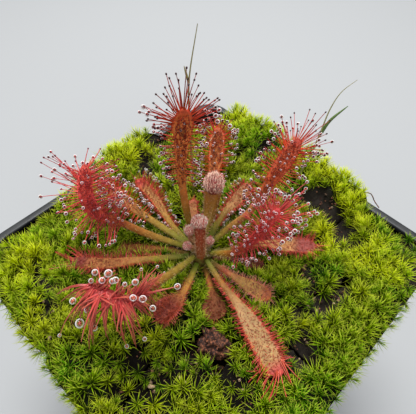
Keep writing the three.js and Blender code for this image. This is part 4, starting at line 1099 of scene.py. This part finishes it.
# Tentacles that hang together in strands, or reach out alone: the share along the leaf where each
# strand starts, how far its end is from there, how many tentacles it holds, and its drop's radius.
STRANDS = {
    "leaf_front_arched": [
        (1.0, (-3.6, -4.6, -2), 4, 0), (0.97, (-3.3, -4.7, -3), 4, 0),
        (0.95, (-0.3, -4.6, -4), 6, 0), (0.93, (-1.2, -8.4, -6), 2, 0.3),
        (0.9, (3.2, -6, -6.5), 10, 0), (0.9, (2.2, -6.6, -4.8), 2, 0),
        (0.88, (-1.4, -6.8, -5), 3, 0), (0.85, (3, -3.7, -6), 4, 0), (0.8, (3.4, -2.7, -6.5), 7, 0),
        (0.78, (5.2, -2.3, -7), 3, 0), (0.74, (4.5, -1.3, -6), 4, 0.35),
        (0.72, (2.7, -4.4, -7), 2, 0.35), (0.7, (2.7, 0.4, -4), 6, 0),
        (0.68, (-0.3, 5.3, 3), 3, 0.25), (0.72, (-1.5, 4, 3), 3, 0.25),
        (0.66, (1, 4.9, 2.5), 4, 0.15), (0.66, (3.2, 5.5, 0), 3, 0.5), (0.7, (3, 1.5, -1), 3, 0.5),
        (0.98, (0.1, 1.3, 3.2), 2, 0.5), (0.93, (0.8, 2.7, 3.2), 3, 0.62),
        (0.91, (1.6, 2.6, 2.6), 2, 0.5), (0.9, (1.2, 1.9, 2.5), 2, 0.45),
        (0.95, (1, 1.5, 2.5), 2, 0.5), (0.98, (0.2, 0.2, 2), 3, 0.4),
        (0.99, (0.1, -3.3, 0), 3, 0.5), (0.96, (2, -4.8, -3), 2, 0.72),
        (0.92, (2.7, -3.9, -4), 2, 0.45), (0.95, (1.5, -2.7, -1), 3, 0.45),
        (0.8, (2, 1.6, 1.5), 3, 0.5), (0.78, (0.7, 2.8, 3), 2, 0.5), (0.74, (1.6, 1.8, 1), 3, 0.55),
        (0.82, (1, 2.2, 2.5), 3, 0.35), (0.86, (2.4, -0.6, -0.5), 4, 0.3),
        (0.76, (3.2, -0.4, -1.5), 4, 0), (0.84, (1.8, -1.8, -1.5), 5, 0),
        (0.88, (0.8, -2.6, -1.6), 5, 0), (0.62, (2.4, 0.8, -3.4), 3, 0),
        (0.64, (-1.4, 3.2, 1), 3, 0)],
    "leaf_right_arched": [
        (0.8, (4.1, 9.3, -0.8), 1, 0.3), (0.8, (3.7, 7.9, -0.4), 1, 0.32),
        (0.75, (4.2, 9.3, -0.8), 1, 0.34), (0.7, (3.1, 8.6, -0.8), 1, 0.3),
        (0.72, (4, 8.5, -0.8), 1, 0.34), (0.68, (4.6, 8.9, -1.2), 1, 0.36),
        (0.66, (4.3, 8.2, -1.2), 1, 0.32), (0.62, (4.4, 7.8, -1.2), 1, 0.3),
        (0.58, (4.4, 6.7, -0.8), 1, 0.3), (0.56, (4.8, 6.3, -0.8), 1, 0.28),
        (0.9, (0.6, 8.5, 1.2), 1, 0.32), (0.9, (0.4, 7, 0.8), 1, 0.3),
        (0.9, (0.8, 7.9, 0.4), 1, 0.3), (0.85, (0, 7.5, 0.8), 1, 0.3), (0.6, (1.8, 8.2, 0), 1, 0.3),
        (0.6, (2.4, 7, -0.8), 1, 0.32), (0.95, (0.2, 8, 1.6), 1, 0.3), (0.85, (5, 7.4, 0), 1, 0.34),
        (0.78, (2.6, 9.2, 0.6), 1, 0.32), (0.64, (3.2, 9.4, -0.2), 1, 0.3)],
}


def add_strands(rib, stalks, drops, draw):
    for start, offset, count, drop in STRANDS[rib.leaf["name"]]:
        alone, hangs = count == 1, offset[2] < 0
        for i in range(count):
            place, _, left, top = rib.at(start + draw.uniform(-0.022, 0.022))
            root = place + left * draw.uniform(-0.5, 0.5) + top * draw.uniform(0.05, 0.25)
            end = rib.at(start)[0] + offset + random_shift(draw, 0.12 + 0.05 * count)
            span = (end - root) * (1 if i == 0 else draw.uniform(0.6, 1))
            length = np.linalg.norm(span)
            way = unit(span / length + np.array(random_shift(draw, 0.1 if alone else 0.25))
                       + (0, 0, 0.75 if hangs and not alone else 0.1))
            own = draw.random()
            foot = 0.12 if alone else 0.14
            if hangs and not alone:
                foot = draw.uniform(0.2, 0.3)
            tip, tip_way = add_stalk(stalks, root, way, span / length - way, length, foot, 0.07,
                                     own)
            if drop and i == 0:
                add_ball(stalks, tip, tip_way, 0.35 * drop, 1.5, 2, own, 0)
                add_ball(drops, tip, tip_way, drop, 1.1, 3, own)


# On the face a gland is small. From LONG on, a tentacle without a gland is stout and less pointed.
FACE_GLAND, LONG = 0.09, 3


def add_tentacles(rib, seed):
    """Every tentacle of a leaf, and the drops that they hold."""
    leaf = rib.leaf
    draw = random.Random(seed)
    kind = tentacle_kind(leaf)
    gland = HABITS[kind]["gland"]
    wave = 0.1 if gland else 0.22
    clasp, down = leaf.get("clasp", 0.08), np.array((0, 0, -leaf.get("droop", 0)))
    dew_edge, dew_tip, dew_face = leaf["dew"]
    stalks, drops = Mesh(), Mesh()
    for share, across, turn, tilt, length, edge in tentacle_sites(rib, kind, draw):
        place, along, left, top = rib.at(share)
        turn, tilt = math.radians(turn), math.radians(tilt)
        flat = along * math.cos(turn) + left * math.sin(turn)
        way = unit(flat * math.cos(tilt) + top * math.sin(tilt))
        half = rib.half_width(share)
        rise = (BLADE["cup"] + leaf.get("fold", 0)) * half * across * across * rib.grown(share)
        rise += 0 if edge else BLADE["half_thick"] * math.sqrt(1 - across * across)
        root = place + left * across * half * 0.88 + top * rise - way * 0.1
        bend = np.array(random_shift(draw, wave)) + top * clasp
        bend = bend + down * draw.uniform(0.4, 1.4)
        own = draw.random()
        edge_dew = dew_edge if share < 0.93 else dew_tip
        has_drop = draw.random() < (edge_dew if edge else dew_face)
        dark = 0.5 if has_drop else 1
        if edge or kind == "drooping":
            foot = HABITS[kind]["foot"] * draw.uniform(0.85, 1.2)
            neck = 0.06 if gland else 0.25 * foot
            if length >= LONG and not gland:
                foot *= 1.25
                neck = 0.4 * foot
            end, tip_way = add_stalk(stalks, root, way, bend, length, foot, neck, own)
            if gland:
                add_ball(stalks, end, tip_way, gland, 1.35, 1, own, dark)
        else:
            tip_way = way
            end = add_hair(stalks, root, way, bend, length, 0.075 if gland else 0.062, own,
                           0 if gland else draw.uniform(0, 0.6))
            if gland:
                add_ball(stalks, end, tip_way, FACE_GLAND, 1.2, 1, own, dark)
        if has_drop:
            size = min(0.3, 0.18 + 0.03 * length) * draw.uniform(0.75, 1.3)
            add_ball(drops, end, tip_way, size, 1.08, 2, own)
    if leaf["name"] in STRANDS:
        add_strands(rib, stalks, drops, draw)
    skin = TENTACLE_SKINS[leaf.get("skin", kind)]
    stalks.piece(leaf["name"] + "_tentacles", skin, leaf_slot(leaf), "stalk", [leaf["name"]])
    if drops.count:
        drops.piece(leaf["name"] + "_drops", glue, "dew", "stalk", [leaf["name"]])


for seed, rib in enumerate(ribs):
    add_tentacles(rib, 40 + seed)


# ---- crown ----
# The short stem under the rosette: a stub of old leaf bases, woolly where new leaves push out.
# Stem skin: fibrous, olive to brown, matted with pale hairs.
stem_skin, tree, shader = new_material("woolly_stem_skin")
place = add_node(tree, "ShaderNodeTexCoord")
fibres = add_node(tree, "ShaderNodeTexNoise", {"Scale": 1 / (0.7 * MM), "Detail": 6.0},
                  {"Vector": (place, "Object")})
stem_tone = add_node(tree, "ShaderNodeMapRange", {"From Min": 0.35, "From Max": 0.65},
                     {"Value": (fibres, "Fac")})
stem_colour = add_node(tree, "ShaderNodeMix", {"data_type": "RGBA", 6: hex_colour("#6B3A1E"),
                                               7: hex_colour("#8C8A3A")},
                       {"Factor": (stem_tone, "Result")})
stem_bump = add_node(tree, "ShaderNodeBump", {"Strength": 0.8, "Distance": 0.0002},
                     {"Height": (fibres, "Fac")})
set_shader(tree, shader, {"Base Color": (stem_colour, 2), "Normal": (stem_bump, "Normal")},
           Roughness=0.6)

# From the foot to the top: height and share of the radius.
CROWN_PROFILE = [(crown_low.z, 0.6), (crown_low.z + 3, 0.97), (rim - 6, 0.97), (rim - 4, 1),
                 (rim - 2.5, 1), (rim - 1.2, 0.98), (rim, 0.96), (rim + 0.5, 0.86),
                 (rim + 0.85, 0.55), (rim + 0.95, 0.2)]
CROWN_AROUND, LEAF_BASES = 40, 7
crown_radius = (crown_high.x - crown_low.x) / 2
crown_rings = []
for up, share in CROWN_PROFILE:
    ring = []
    for i in range(CROWN_AROUND):
        angle = 2 * math.pi * i / CROWN_AROUND
        groove = 0.5 + 0.5 * math.cos(angle * LEAF_BASES + up * 1.9)
        radius = crown_radius * share * (1 - 0.09 * groove)
        ring.append((crown_middle.x + radius * math.cos(angle),
                     crown_middle.y + radius * math.sin(angle), up))
    crown_rings.append(ring)
add_piece("crown_stem", *loft(crown_rings), stem_skin, "green_stem", ["crown"])

# Wool: dry, pale, matted hair.
wool = tentacle_skin("pale_wool", "#B89A6A", "#E6D6C4", "#E6D6C4")
WOOL_HAIRS, WOOL_RADIUS = 260, 0.05
draw = random.Random(5)
crown_wool = Mesh()
for _ in range(WOOL_HAIRS):
    angle, share = draw.uniform(0, 2 * math.pi), draw.uniform(0, 1) ** 0.5
    outward = np.array((math.cos(angle), math.sin(angle), 0))
    root = np.array(crown_middle) + outward * crown_radius * share + (0, 0, 0.85 - 0.8 * share ** 3)
    way = unit(outward * share * draw.uniform(0.2, 1.1) + (0, 0, draw.uniform(0.5, 1.1)))
    bend = np.array(random_shift(draw, 0.35))
    add_hair(crown_wool, root - way * 0.15, way, bend, draw.uniform(0.6, 1.3), WOOL_RADIUS,
             draw.random())
crown_wool.piece("crown_wool", wool, "green_stem", "stalk", ["crown"])


# ---- petiole hairs ----
# Short glandless hairs that stand off every petiole: straw on living leaves, brown on dead ones.
petiole_wool = tentacle_skin("petiole_hair", "#9A7A34", "#DCC08A", "#DCC08A")
old_petiole_wool = tentacle_skin("old_petiole_hair", "#A0602A", "#D08A5A", "#D08A5A")
PETIOLE_HAIRS_PER_MM, SHORT_HAIR_RADIUS = 9, 0.045


def add_petiole_hairs(rib, seed):
    leaf = rib.leaf
    draw = random.Random(seed)
    hairs = Mesh()
    hairy = leaf["shoulder"] + 0.12
    for _ in range(round(rib.length * hairy * PETIOLE_HAIRS_PER_MM)):
        share = draw.uniform(0.02, hairy)
        place, along, left, top = rib.at(share)
        angle = draw.uniform(-0.25 * math.pi, 1.25 * math.pi)
        across, deep = math.cos(angle), math.sin(angle)
        root = (place + left * across * rib.half_width(share) * 0.93
                + top * deep * PETIOLE["half_thick"] * 0.9)
        way = unit(left * across + top * deep + along * draw.uniform(-0.2, 0.5))
        bend = np.array(random_shift(draw, 0.2))
        add_hair(hairs, root - way * 0.05, way, bend, draw.uniform(0.35, 0.8), SHORT_HAIR_RADIUS,
                 draw.random())
    skin = old_petiole_wool if "crumple" in leaf else petiole_wool
    hairs.piece(leaf["name"] + "_petiole_hairs", skin, leaf_slot(leaf), "stalk", [leaf["name"]])


for seed, rib in enumerate(ribs):
    add_petiole_hairs(rib, 80 + seed)


# ---- young leaves ----
# New leaves stand in the heart: grooved, hairy stalks, each under a blade that is still folded,
# with its tentacles combed over it in a furry knob. Places are from the crown's middle and up from
# the rim, stalk is its half width at foot and top, and colours run foot, top, folded blade.
YOUNG_LEAVES = [
    {"name": "young_leaf_1", "foot": (-0.9, 1.3, 1.4), "bend": (-2.5, 5.2, 6),
     "top": (-3.6, 7.2, 10), "stalk": (0.65, 1.8), "flat": 0.5, "head": (2.4, 2, 1.9),
     "hairs": 620, "colours": ("#6E7A22", "#A8682A", "#7A2420")},
    {"name": "young_leaf_2", "foot": (1.3, -1.2, 1.4), "bend": (1.1, -1, 5),
     "top": (-0.1, 0.1, 8.6), "stalk": (0.9, 1.1), "flat": 0, "head": (1.5, 1.7, 1.4),
     "hairs": 420, "colours": ("#A05426", "#8E3426", "#A8584C")},
    {"name": "young_leaf_3", "foot": (-1.2, -0.6, 1.4), "bend": (-2, -0.8, 2.6),
     "top": (-2.5, -0.5, 3.6), "stalk": (0.45, 0.5), "flat": 0, "head": (1.25, 1.2, 1.15),
     "hairs": 260, "colours": ("#9A8040", "#B0785A", "#B87464")},
    {"name": "young_leaf_4", "foot": (-0.6, -1.6, 1.4), "bend": (-0.8, -1.8, 1.8),
     "top": (-1, -2.1, 2.2), "stalk": (0.4, 0.4), "flat": 0, "head": (1, 1, 0.95),
     "hairs": 220, "colours": ("#9A8040", "#B0785A", "#B87464")},
    {"name": "young_leaf_5", "foot": (1, 1.3, 1.4), "bend": (1.05, 1.4, 1.8),
     "top": (1.1, 1.5, 2.2), "stalk": (0.4, 0.4), "flat": 0, "head": (0.95, 0.9, 0.9),
     "hairs": 200, "colours": ("#9A8040", "#B0785A", "#B87464")},
]


def bud_skin(young):
    """Young leaf skin: tender and moist, green to red-brown, dark red where the blade is folded."""
    foot, top, blade = (hex_colour(text) for text in young["colours"])
    material, tree, shader = new_material("bud_skin_" + young["name"][-1])
    place = add_node(tree, "ShaderNodeTexCoord")
    _, parts = read_mark(tree, "bud")
    run = add_node(tree, "ShaderNodeMix", {"data_type": "RGBA", 6: foot, 7: top},
                   {"Factor": (parts, "Red")})
    mottle = add_node(tree, "ShaderNodeTexNoise", {"Scale": 1 / (0.6 * MM), "Detail": 4.0},
                      {"Vector": (place, "Object")})
    tone = add_node(tree, "ShaderNodeMapRange", {"From Min": 0.3, "From Max": 0.7, "To Min": 0.75,
                                                 "To Max": 1.2}, {"Value": (mottle, "Fac")})
    folded = add_node(tree, "ShaderNodeMix", {"data_type": "RGBA", 7: blade},
                      {"Factor": (parts, "Green"), 6: (run, 2)})
    toned = add_node(tree, "ShaderNodeHueSaturation",
                     links={"Color": (folded, 2), "Value": (tone, "Result")})
    set_shader(tree, shader, {"Base Color": (toned, "Color")}, Roughness=0.4, IOR=1.42,
               Subsurface_Weight=0.1, Subsurface_Radius=(1.0, 0.3, 0.15), Subsurface_Scale=0.0005)
    return material


# Fur and down: pale tentacles that still lie over the folded blade, and short stalk hairs.
bud_wool = tentacle_skin("bud_tentacle_skin", "#AC4440", "#FADCC4", "#B84048")
bud_down = tentacle_skin("bud_down", "#C88474", "#FFECDC", "#C05058")
stalk_wool = tentacle_skin("bud_stalk_hair", "#B87A50", "#E8C09A", "#E8C09A")
BUD_AROUND, FUR_RADIUS, STALK_HAIRS_PER_MM = 24, 0.06, 26


def bud_stalk_half(young, share):
    narrow, wide = young["stalk"]
    return narrow + (wide - narrow) * share


def add_bud_body(young, places, frames, turn, middle, size):
    """The stalk, grooved along its length, and the knob of the folded blade on top."""
    rings, marks = [], []
    for i in range(0, CURVE_STEPS + 1, 8):
        _, side, other = frames[i]
        share = i / CURVE_STEPS
        ring = []
        for k in range(BUD_AROUND):
            angle = 2 * math.pi * k / BUD_AROUND
            rough = noise.noise(Vector(places[i]) * 2 + Vector((angle, 0, 0)))
            ridge = 1 + 0.1 * math.cos(5 * angle) + 0.05 * rough
            half = bud_stalk_half(young, share) * ridge * 0.96
            ring.append(places[i] + side * math.cos(angle) * half
                        + other * math.sin(angle) * half * (1 - young["flat"] * share))
            groove = 0.7 * smooth((math.cos(angle) - 0.55) / 0.4)
            marks.append((share, groove * young["flat"] * share))
        rings.append(ring)
    points, faces = loft(rings, capped=False)
    body = Mesh()
    body.add(np.array(points), np.array(marks), quads=np.array(faces))
    knob, knob_faces = BALLS[3]
    knob = knob * size
    knob = knob * (1 + 0.05 * np.sin(knob[:, 1:2] * 6))
    body.add(knob @ turn.T + middle, np.ones((len(knob), 2)), triangles=knob_faces)
    body.piece(young["name"] + "_body", bud_skin(young), "young_leaf", "bud", [young["name"]])


def add_bud_fur(young, draw, lean, turn, middle, size):
    """Hairs combed up over the knob, some of them with a gland."""
    fur = Mesh()
    for i in range(young["hairs"]):
        height = 1 - 1.8 * (i + 0.5) / young["hairs"]
        angle = i * GOLDEN_TURN + draw.uniform(-0.2, 0.2)
        flat = math.sqrt(max(0, 1 - height * height))
        out = np.array((height, flat * math.cos(angle), flat * math.sin(angle)))
        root = (out * size * 0.97) @ turn.T + middle
        out = unit(out * (0.5, 1, 1)) @ turn.T
        comb = lean * draw.uniform(0.5, 1.2) if height < 0.8 else lean * 0.2
        way = unit(out * 0.75 + comb + np.array(random_shift(draw, 0.25)))
        inward = unit(middle + lean * size[0] - root) * 0.35
        long = min(1.3, young["head"][0] * draw.uniform(0.4, 0.62))
        own = draw.random()
        if draw.random() < 0.15:
            end, tip_way = add_stalk(fur, root - way * 0.1, way, inward, long, FUR_RADIUS, 0.04,
                                     own)
            add_ball(fur, end, tip_way, 0.09, 1.3, 1, own)
        else:
            add_hair(fur, root - way * 0.1, way, inward, long, FUR_RADIUS, own)
    skin = bud_wool if young["flat"] else bud_down
    fur.piece(young["name"] + "_fur", skin, "young_leaf", "stalk", [young["name"]])


def add_bud_stalk_hairs(young, draw, places, frames, length):
    hairs = Mesh()
    for _ in range(round(length * sum(young["stalk"]) * STALK_HAIRS_PER_MM)):
        i = draw.randrange(30, 236)
        along, side, other = frames[i]
        angle = draw.uniform(0, 2 * math.pi)
        half = bud_stalk_half(young, i / CURVE_STEPS) * 0.94
        flat = 1 - young["flat"] * i / CURVE_STEPS
        root = places[i] + side * math.cos(angle) * half + other * math.sin(angle) * half * flat
        way = unit(side * math.cos(angle) * flat + other * math.sin(angle))
        way = unit(way + along * draw.uniform(0, 0.9))
        bend = np.array(random_shift(draw, 0.25))
        add_hair(hairs, root - way * 0.05, way, bend, draw.uniform(0.3, 0.65), SHORT_HAIR_RADIUS,
                 draw.random())
    hairs.piece(young["name"] + "_hairs", stalk_wool, "young_leaf", "stalk", [young["name"]])


def add_young_leaf(young, seed):
    draw = random.Random(seed)
    x, y, up = young["foot"]
    stops = [(x, y, up - 1.2), (x, y, up + 0.6), young["bend"], young["top"]]
    places, length = curve_points([np.array(crown_middle) + stop for stop in stops])
    frames = carried_frames(places, np.array((0.694, 0.72, 0.0)))
    lean = unit(np.array(young["top"]) - np.array(young["bend"]))
    turn = np.array(Vector(lean).to_track_quat("X", "Z").to_matrix())
    middle = places[-1] + lean * young["head"][0] * 0.5
    size = np.array(young["head"]) * 0.84
    add_bud_body(young, places, frames, turn, middle, size)
    add_bud_fur(young, draw, lean, turn, middle, size)
    add_bud_stalk_hairs(young, draw, places, frames, length)


for seed, young in enumerate(YOUNG_LEAVES):
    add_young_leaf(young, 120 + seed)


# ---- grass ----
# Two grass seedlings that came up through the moss: thin creased blades, green low down and straw
# at the tips. Points are from the pot's middle and up from the rim.
GRASSES = [
    {"name": "grass_right", "blades": [
        {"width": 0.55, "points": [(2, 26.6, -11), (2.1, 26.8, -1), (2.5, 27.4, 5), (2.7, 29.4, 10),
                                   (2.3, 31.2, 14), (1.9, 33.2, 19), (2.4, 34.6, 22.5),
                                   (3.8, 36.5, 25)]},
        {"width": 0.75, "points": [(2.4, 31, 13), (2.6, 33.2, 16), (3.7, 37, 18.4)], "green": 1},
        {"width": 0.4, "points": [(2.6, 28.4, 8), (4.6, 29.6, 9), (7, 31, 9.6)]}]},
    {"name": "grass_back", "blades": [
        {"width": 0.5, "points": [(-13.4, 8, -11), (-12.6, 7.8, 8), (-10.6, 6.2, 27), (-9.8, 6, 34),
                                  (-8, 6.4, 43)]},
        {"width": 0.4, "points": [(-10, 6, 33), (-10.4, 5.6, 36)]}]},
]

# Grass blade: silky, with fine veins along it, green drying to straw.
grass_skin, tree, shader = new_material("grass_blade")
_, parts = read_mark(tree, "grass")
dry = add_node(tree, "ShaderNodeValToRGB", links={"Fac": (parts, "Red")})
dry.color_ramp.elements[0].color = hex_colour("#7E9038")
dry.color_ramp.elements[1].position, dry.color_ramp.elements[1].color = 1.0, hex_colour("#B9AE7C")
dry.color_ramp.elements.new(0.6).color = hex_colour("#A3A566")
fresh = add_node(tree, "ShaderNodeMix", {"data_type": "RGBA", 7: hex_colour("#55702C")},
                 {"Factor": (parts, "Green"), 6: (dry, "Color")})
veins = add_node(tree, "ShaderNodeMath", {"operation": "SINE"})
across = add_node(tree, "ShaderNodeMath", {"operation": "MULTIPLY", 1: 40.0}, {0: (parts, "Blue")})
tree.links.new(across.outputs[0], veins.inputs[0])
vein_bump = add_node(tree, "ShaderNodeBump", {"Strength": 0.4, "Distance": 0.00003},
                     {"Height": (veins, 0)})
set_shader(tree, shader, {"Base Color": (fresh, 2), "Normal": (vein_bump, "Normal")},
           Roughness=0.4, IOR=1.42)

# A blade's section, folded a little along its middle: across and deep, as shares of its half width.
GRASS_SECTION = ((-1, 0.25), (-0.5, 0.08), (0, -0.12), (0.5, 0.08), (1, 0.25), (0.5, 0.3),
                 (0, 0.14), (-0.5, 0.3))


def add_grass(grass):
    blades = Mesh()
    for blade in grass["blades"]:
        places, _ = curve_points([(x, y, rim + up) for x, y, up in blade["points"]])
        frames = carried_frames(places, unit(np.array((0.6, 0.75, 0.2))))
        rings, marks = [], []
        for i in range(0, CURVE_STEPS + 1, 4):
            share = i / CURVE_STEPS
            _, side, other = frames[i]
            half = 0.5 * blade["width"] * (1 - 0.8 * share ** 2.5)
            rings.append([places[i] + side * across * half + other * deep * half * 1.6
                          for across, deep in GRASS_SECTION])
            marks += [(share, blade.get("green", 0), (across + 1) / 2)
                      for across, _ in GRASS_SECTION]
        points, faces = loft(rings, capped=False)
        blades.add(np.array(points), np.array(marks), quads=np.array(faces))
    blades.piece(grass["name"] + "_blades", grass_skin, "grass", "grass", [grass["name"]])


for grass in GRASSES:
    add_grass(grass)


# ---- bark and litter ----
# A knob of composted bark in the moss, and crumbs of bark, peat and grit scattered where the moss
# is thin. Composted bark: soft and flaky, dark brown with paler broken edges.
bark_skin, tree, shader = new_material("composted_bark")
place = add_node(tree, "ShaderNodeTexCoord")
_, parts = read_mark(tree, "litter")
grime = add_node(tree, "ShaderNodeTexNoise", {"Scale": 1 / (0.6 * MM), "Detail": 8.0,
                                              "Roughness": 0.7}, {"Vector": (place, "Object")})
pale_share = add_node(tree, "ShaderNodeMapRange", {"From Min": 0.47, "From Max": 0.68},
                      {"Value": (grime, "Fac")})
dark_bark = add_node(tree, "ShaderNodeMix", {"data_type": "RGBA", 6: hex_colour("#26100A"),
                                             7: hex_colour("#B06C4A")},
                     {"Factor": (pale_share, "Result")})
grit = add_node(tree, "ShaderNodeMix", {"data_type": "RGBA", 7: hex_colour("#D2B48E")},
                {"Factor": (parts, "Red"), 6: (dark_bark, 2)})
bark_bump = add_node(tree, "ShaderNodeBump", {"Strength": 1.0, "Distance": 0.0003},
                     {"Height": (grime, "Fac")})
set_shader(tree, shader, {"Base Color": (grit, 2), "Normal": (bark_bump, "Normal")}, Roughness=0.8)

bark_low, bark_high = (np.array(corner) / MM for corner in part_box("bark"))
bark_middle, bark_half = (bark_low + bark_high) / 2, (bark_high - bark_low) / 2
# Coarse, middling and fine lumps: how close they are, and how far they stand out.
BARK_LUMPS = ((2.2, 0.4), (5, 0.22), (11, 0.12))
lump, lump_faces = ball(5)
shaped = []
for direction in lump:
    rough = sum(noise.noise(Vector(direction) * close) * tall for close, tall in BARK_LUMPS)
    shaped.append(bark_middle + direction * bark_half * (0.78 + rough))
add_piece("bark_lump", shaped, [lump_faces], bark_skin, "bark", ["bark"],
          {"litter": [(0.0,)] * len(shaped)})

# Crumbs by place and radius, with how pale each is. The dark ones cluster round the knob of bark.
CRUMBS = [(15.4, -15, 1.5, 0), (16.9, -13.5, 1.1, 0.1), (14.3, -15.4, 0.8, 0),
          (12.9, -13.2, 0.8, 0.1), (16.9, -11.8, 0.7, 0), (13.1, -10.8, 0.8, 0),
          (15.8, -15.3, 0.5, 0.7), (17.3, -14.9, 0.6, 0.2), (14.9, -13.9, 0.8, 0.15),
          (11.9, -11.6, 0.6, 0), (11.6, -25.2, 0.8, 0.75), (10.9, -24.9, 0.5, 0.5),
          (21.6, -13.4, 0.42, 1), (25.3, 9.6, 0.35, 0.9), (16.6, 11.7, 1, 0.05),
          (17.2, 10.6, 0.7, 0), (15.3, 24, 0.35, 0.9), (12.3, -17.9, 0.5, 0.5),
          (-19.5, -27.3, 0.5, 0.3), (-6.4, -33.2, 0.6, 0.7)]
ground.from_mesh(bpy.data.objects["potting_mix"].data)
bmesh.ops.scale(ground, vec=(1 / MM,) * 3, verts=ground.verts)
ground_tree = BVHTree.FromBMesh(ground)
ground.free()


def add_crumb(mesh, x, y, radius, pale, draw):
    """A crumb on whatever lies lowest under it: the bed of the moss, or the mix."""
    hit = ground_tree.ray_cast(Vector((x, y, rim + 12)), Vector((0, 0, -1)))
    if hit[0] is None:
        return
    points, faces = BALLS[2]
    turn = np.array(random_turn(draw, Vector(random_shift(draw, 1))))
    shift = Vector((draw.uniform(0, 90), 0, 0))
    rough = np.array([0.85 + 0.5 * noise.noise(Vector(point) * 1.6 + shift) for point in points])
    shape = points * rough[:, None] * (1, draw.uniform(0.6, 0.9), draw.uniform(0.45, 0.8))
    middle = np.array((x, y, hit[0].z + 0.35 * radius))
    marks = np.tile((pale, draw.random(), 0.0), (len(points), 1))
    mesh.add(shape @ turn.T * radius + middle, marks, triangles=faces)


def add_stick(mesh, start, way, foot, tip, pale):
    """A straight dry stalk or splinter with its half width at both ends, and how pale it is."""
    add_stalk(mesh, start, unit(way), np.zeros(3), np.linalg.norm(way), foot, tip, 0)
    mesh.marks[-1][:] = (pale, 0, 0)


litter = Mesh()
draw = random.Random(9)
for x, y, radius, pale in CRUMBS:
    add_crumb(litter, x, y, radius, pale, draw)
LOOSE_CRUMBS = 360
for _ in range(LOOSE_CRUMBS):
    bare_x, bare_y, radius = draw.choice(BARE)
    spread = radius + 1.2
    x, y = bare_x + draw.uniform(-1, 1) * spread, bare_y + draw.uniform(-1, 1) * spread
    if max(abs(x), abs(y)) < inside_wall - 0.5:
        add_crumb(litter, x, y, draw.uniform(0.15, 0.45), draw.random() ** 6 * 0.6, draw)
# A dead stalk that has fallen over the rim at the back, in short straight lengths.
FALLEN = [(14.6, 33.4, 65.4), (15.1, 34.8, 66.7), (16.5, 35.7, 66.7), (18, 35.5, 65.5),
          (19.6, 35, 65.1)]
STICK_STEP, STICK_OVERLAP = 24, 1.02
line, _ = curve_points(FALLEN)
for i in range(0, CURVE_STEPS, STICK_STEP):
    add_stick(litter, line[i], (line[i + STICK_STEP] - line[i]) * STICK_OVERLAP, 0.12, 0.12, 0.1)
# A pale splinter stuck to the broad leaf at the back.
broad_leaf = next(rib for rib in ribs if rib.leaf["name"] == "leaf_back_broad")
(start, _, left, top), (end, _, end_left, end_top) = broad_leaf.at(0.87), broad_leaf.at(0.93)
start, end = start + left * 1.7 + top * 0.5, end + end_left * 0.7 + end_top * 0.45
add_stick(litter, start, end - start, 0.1, 0.08, 1)
litter.piece("peat_and_bark_crumbs", bark_skin, "potting_mix", "litter", ["soil"])
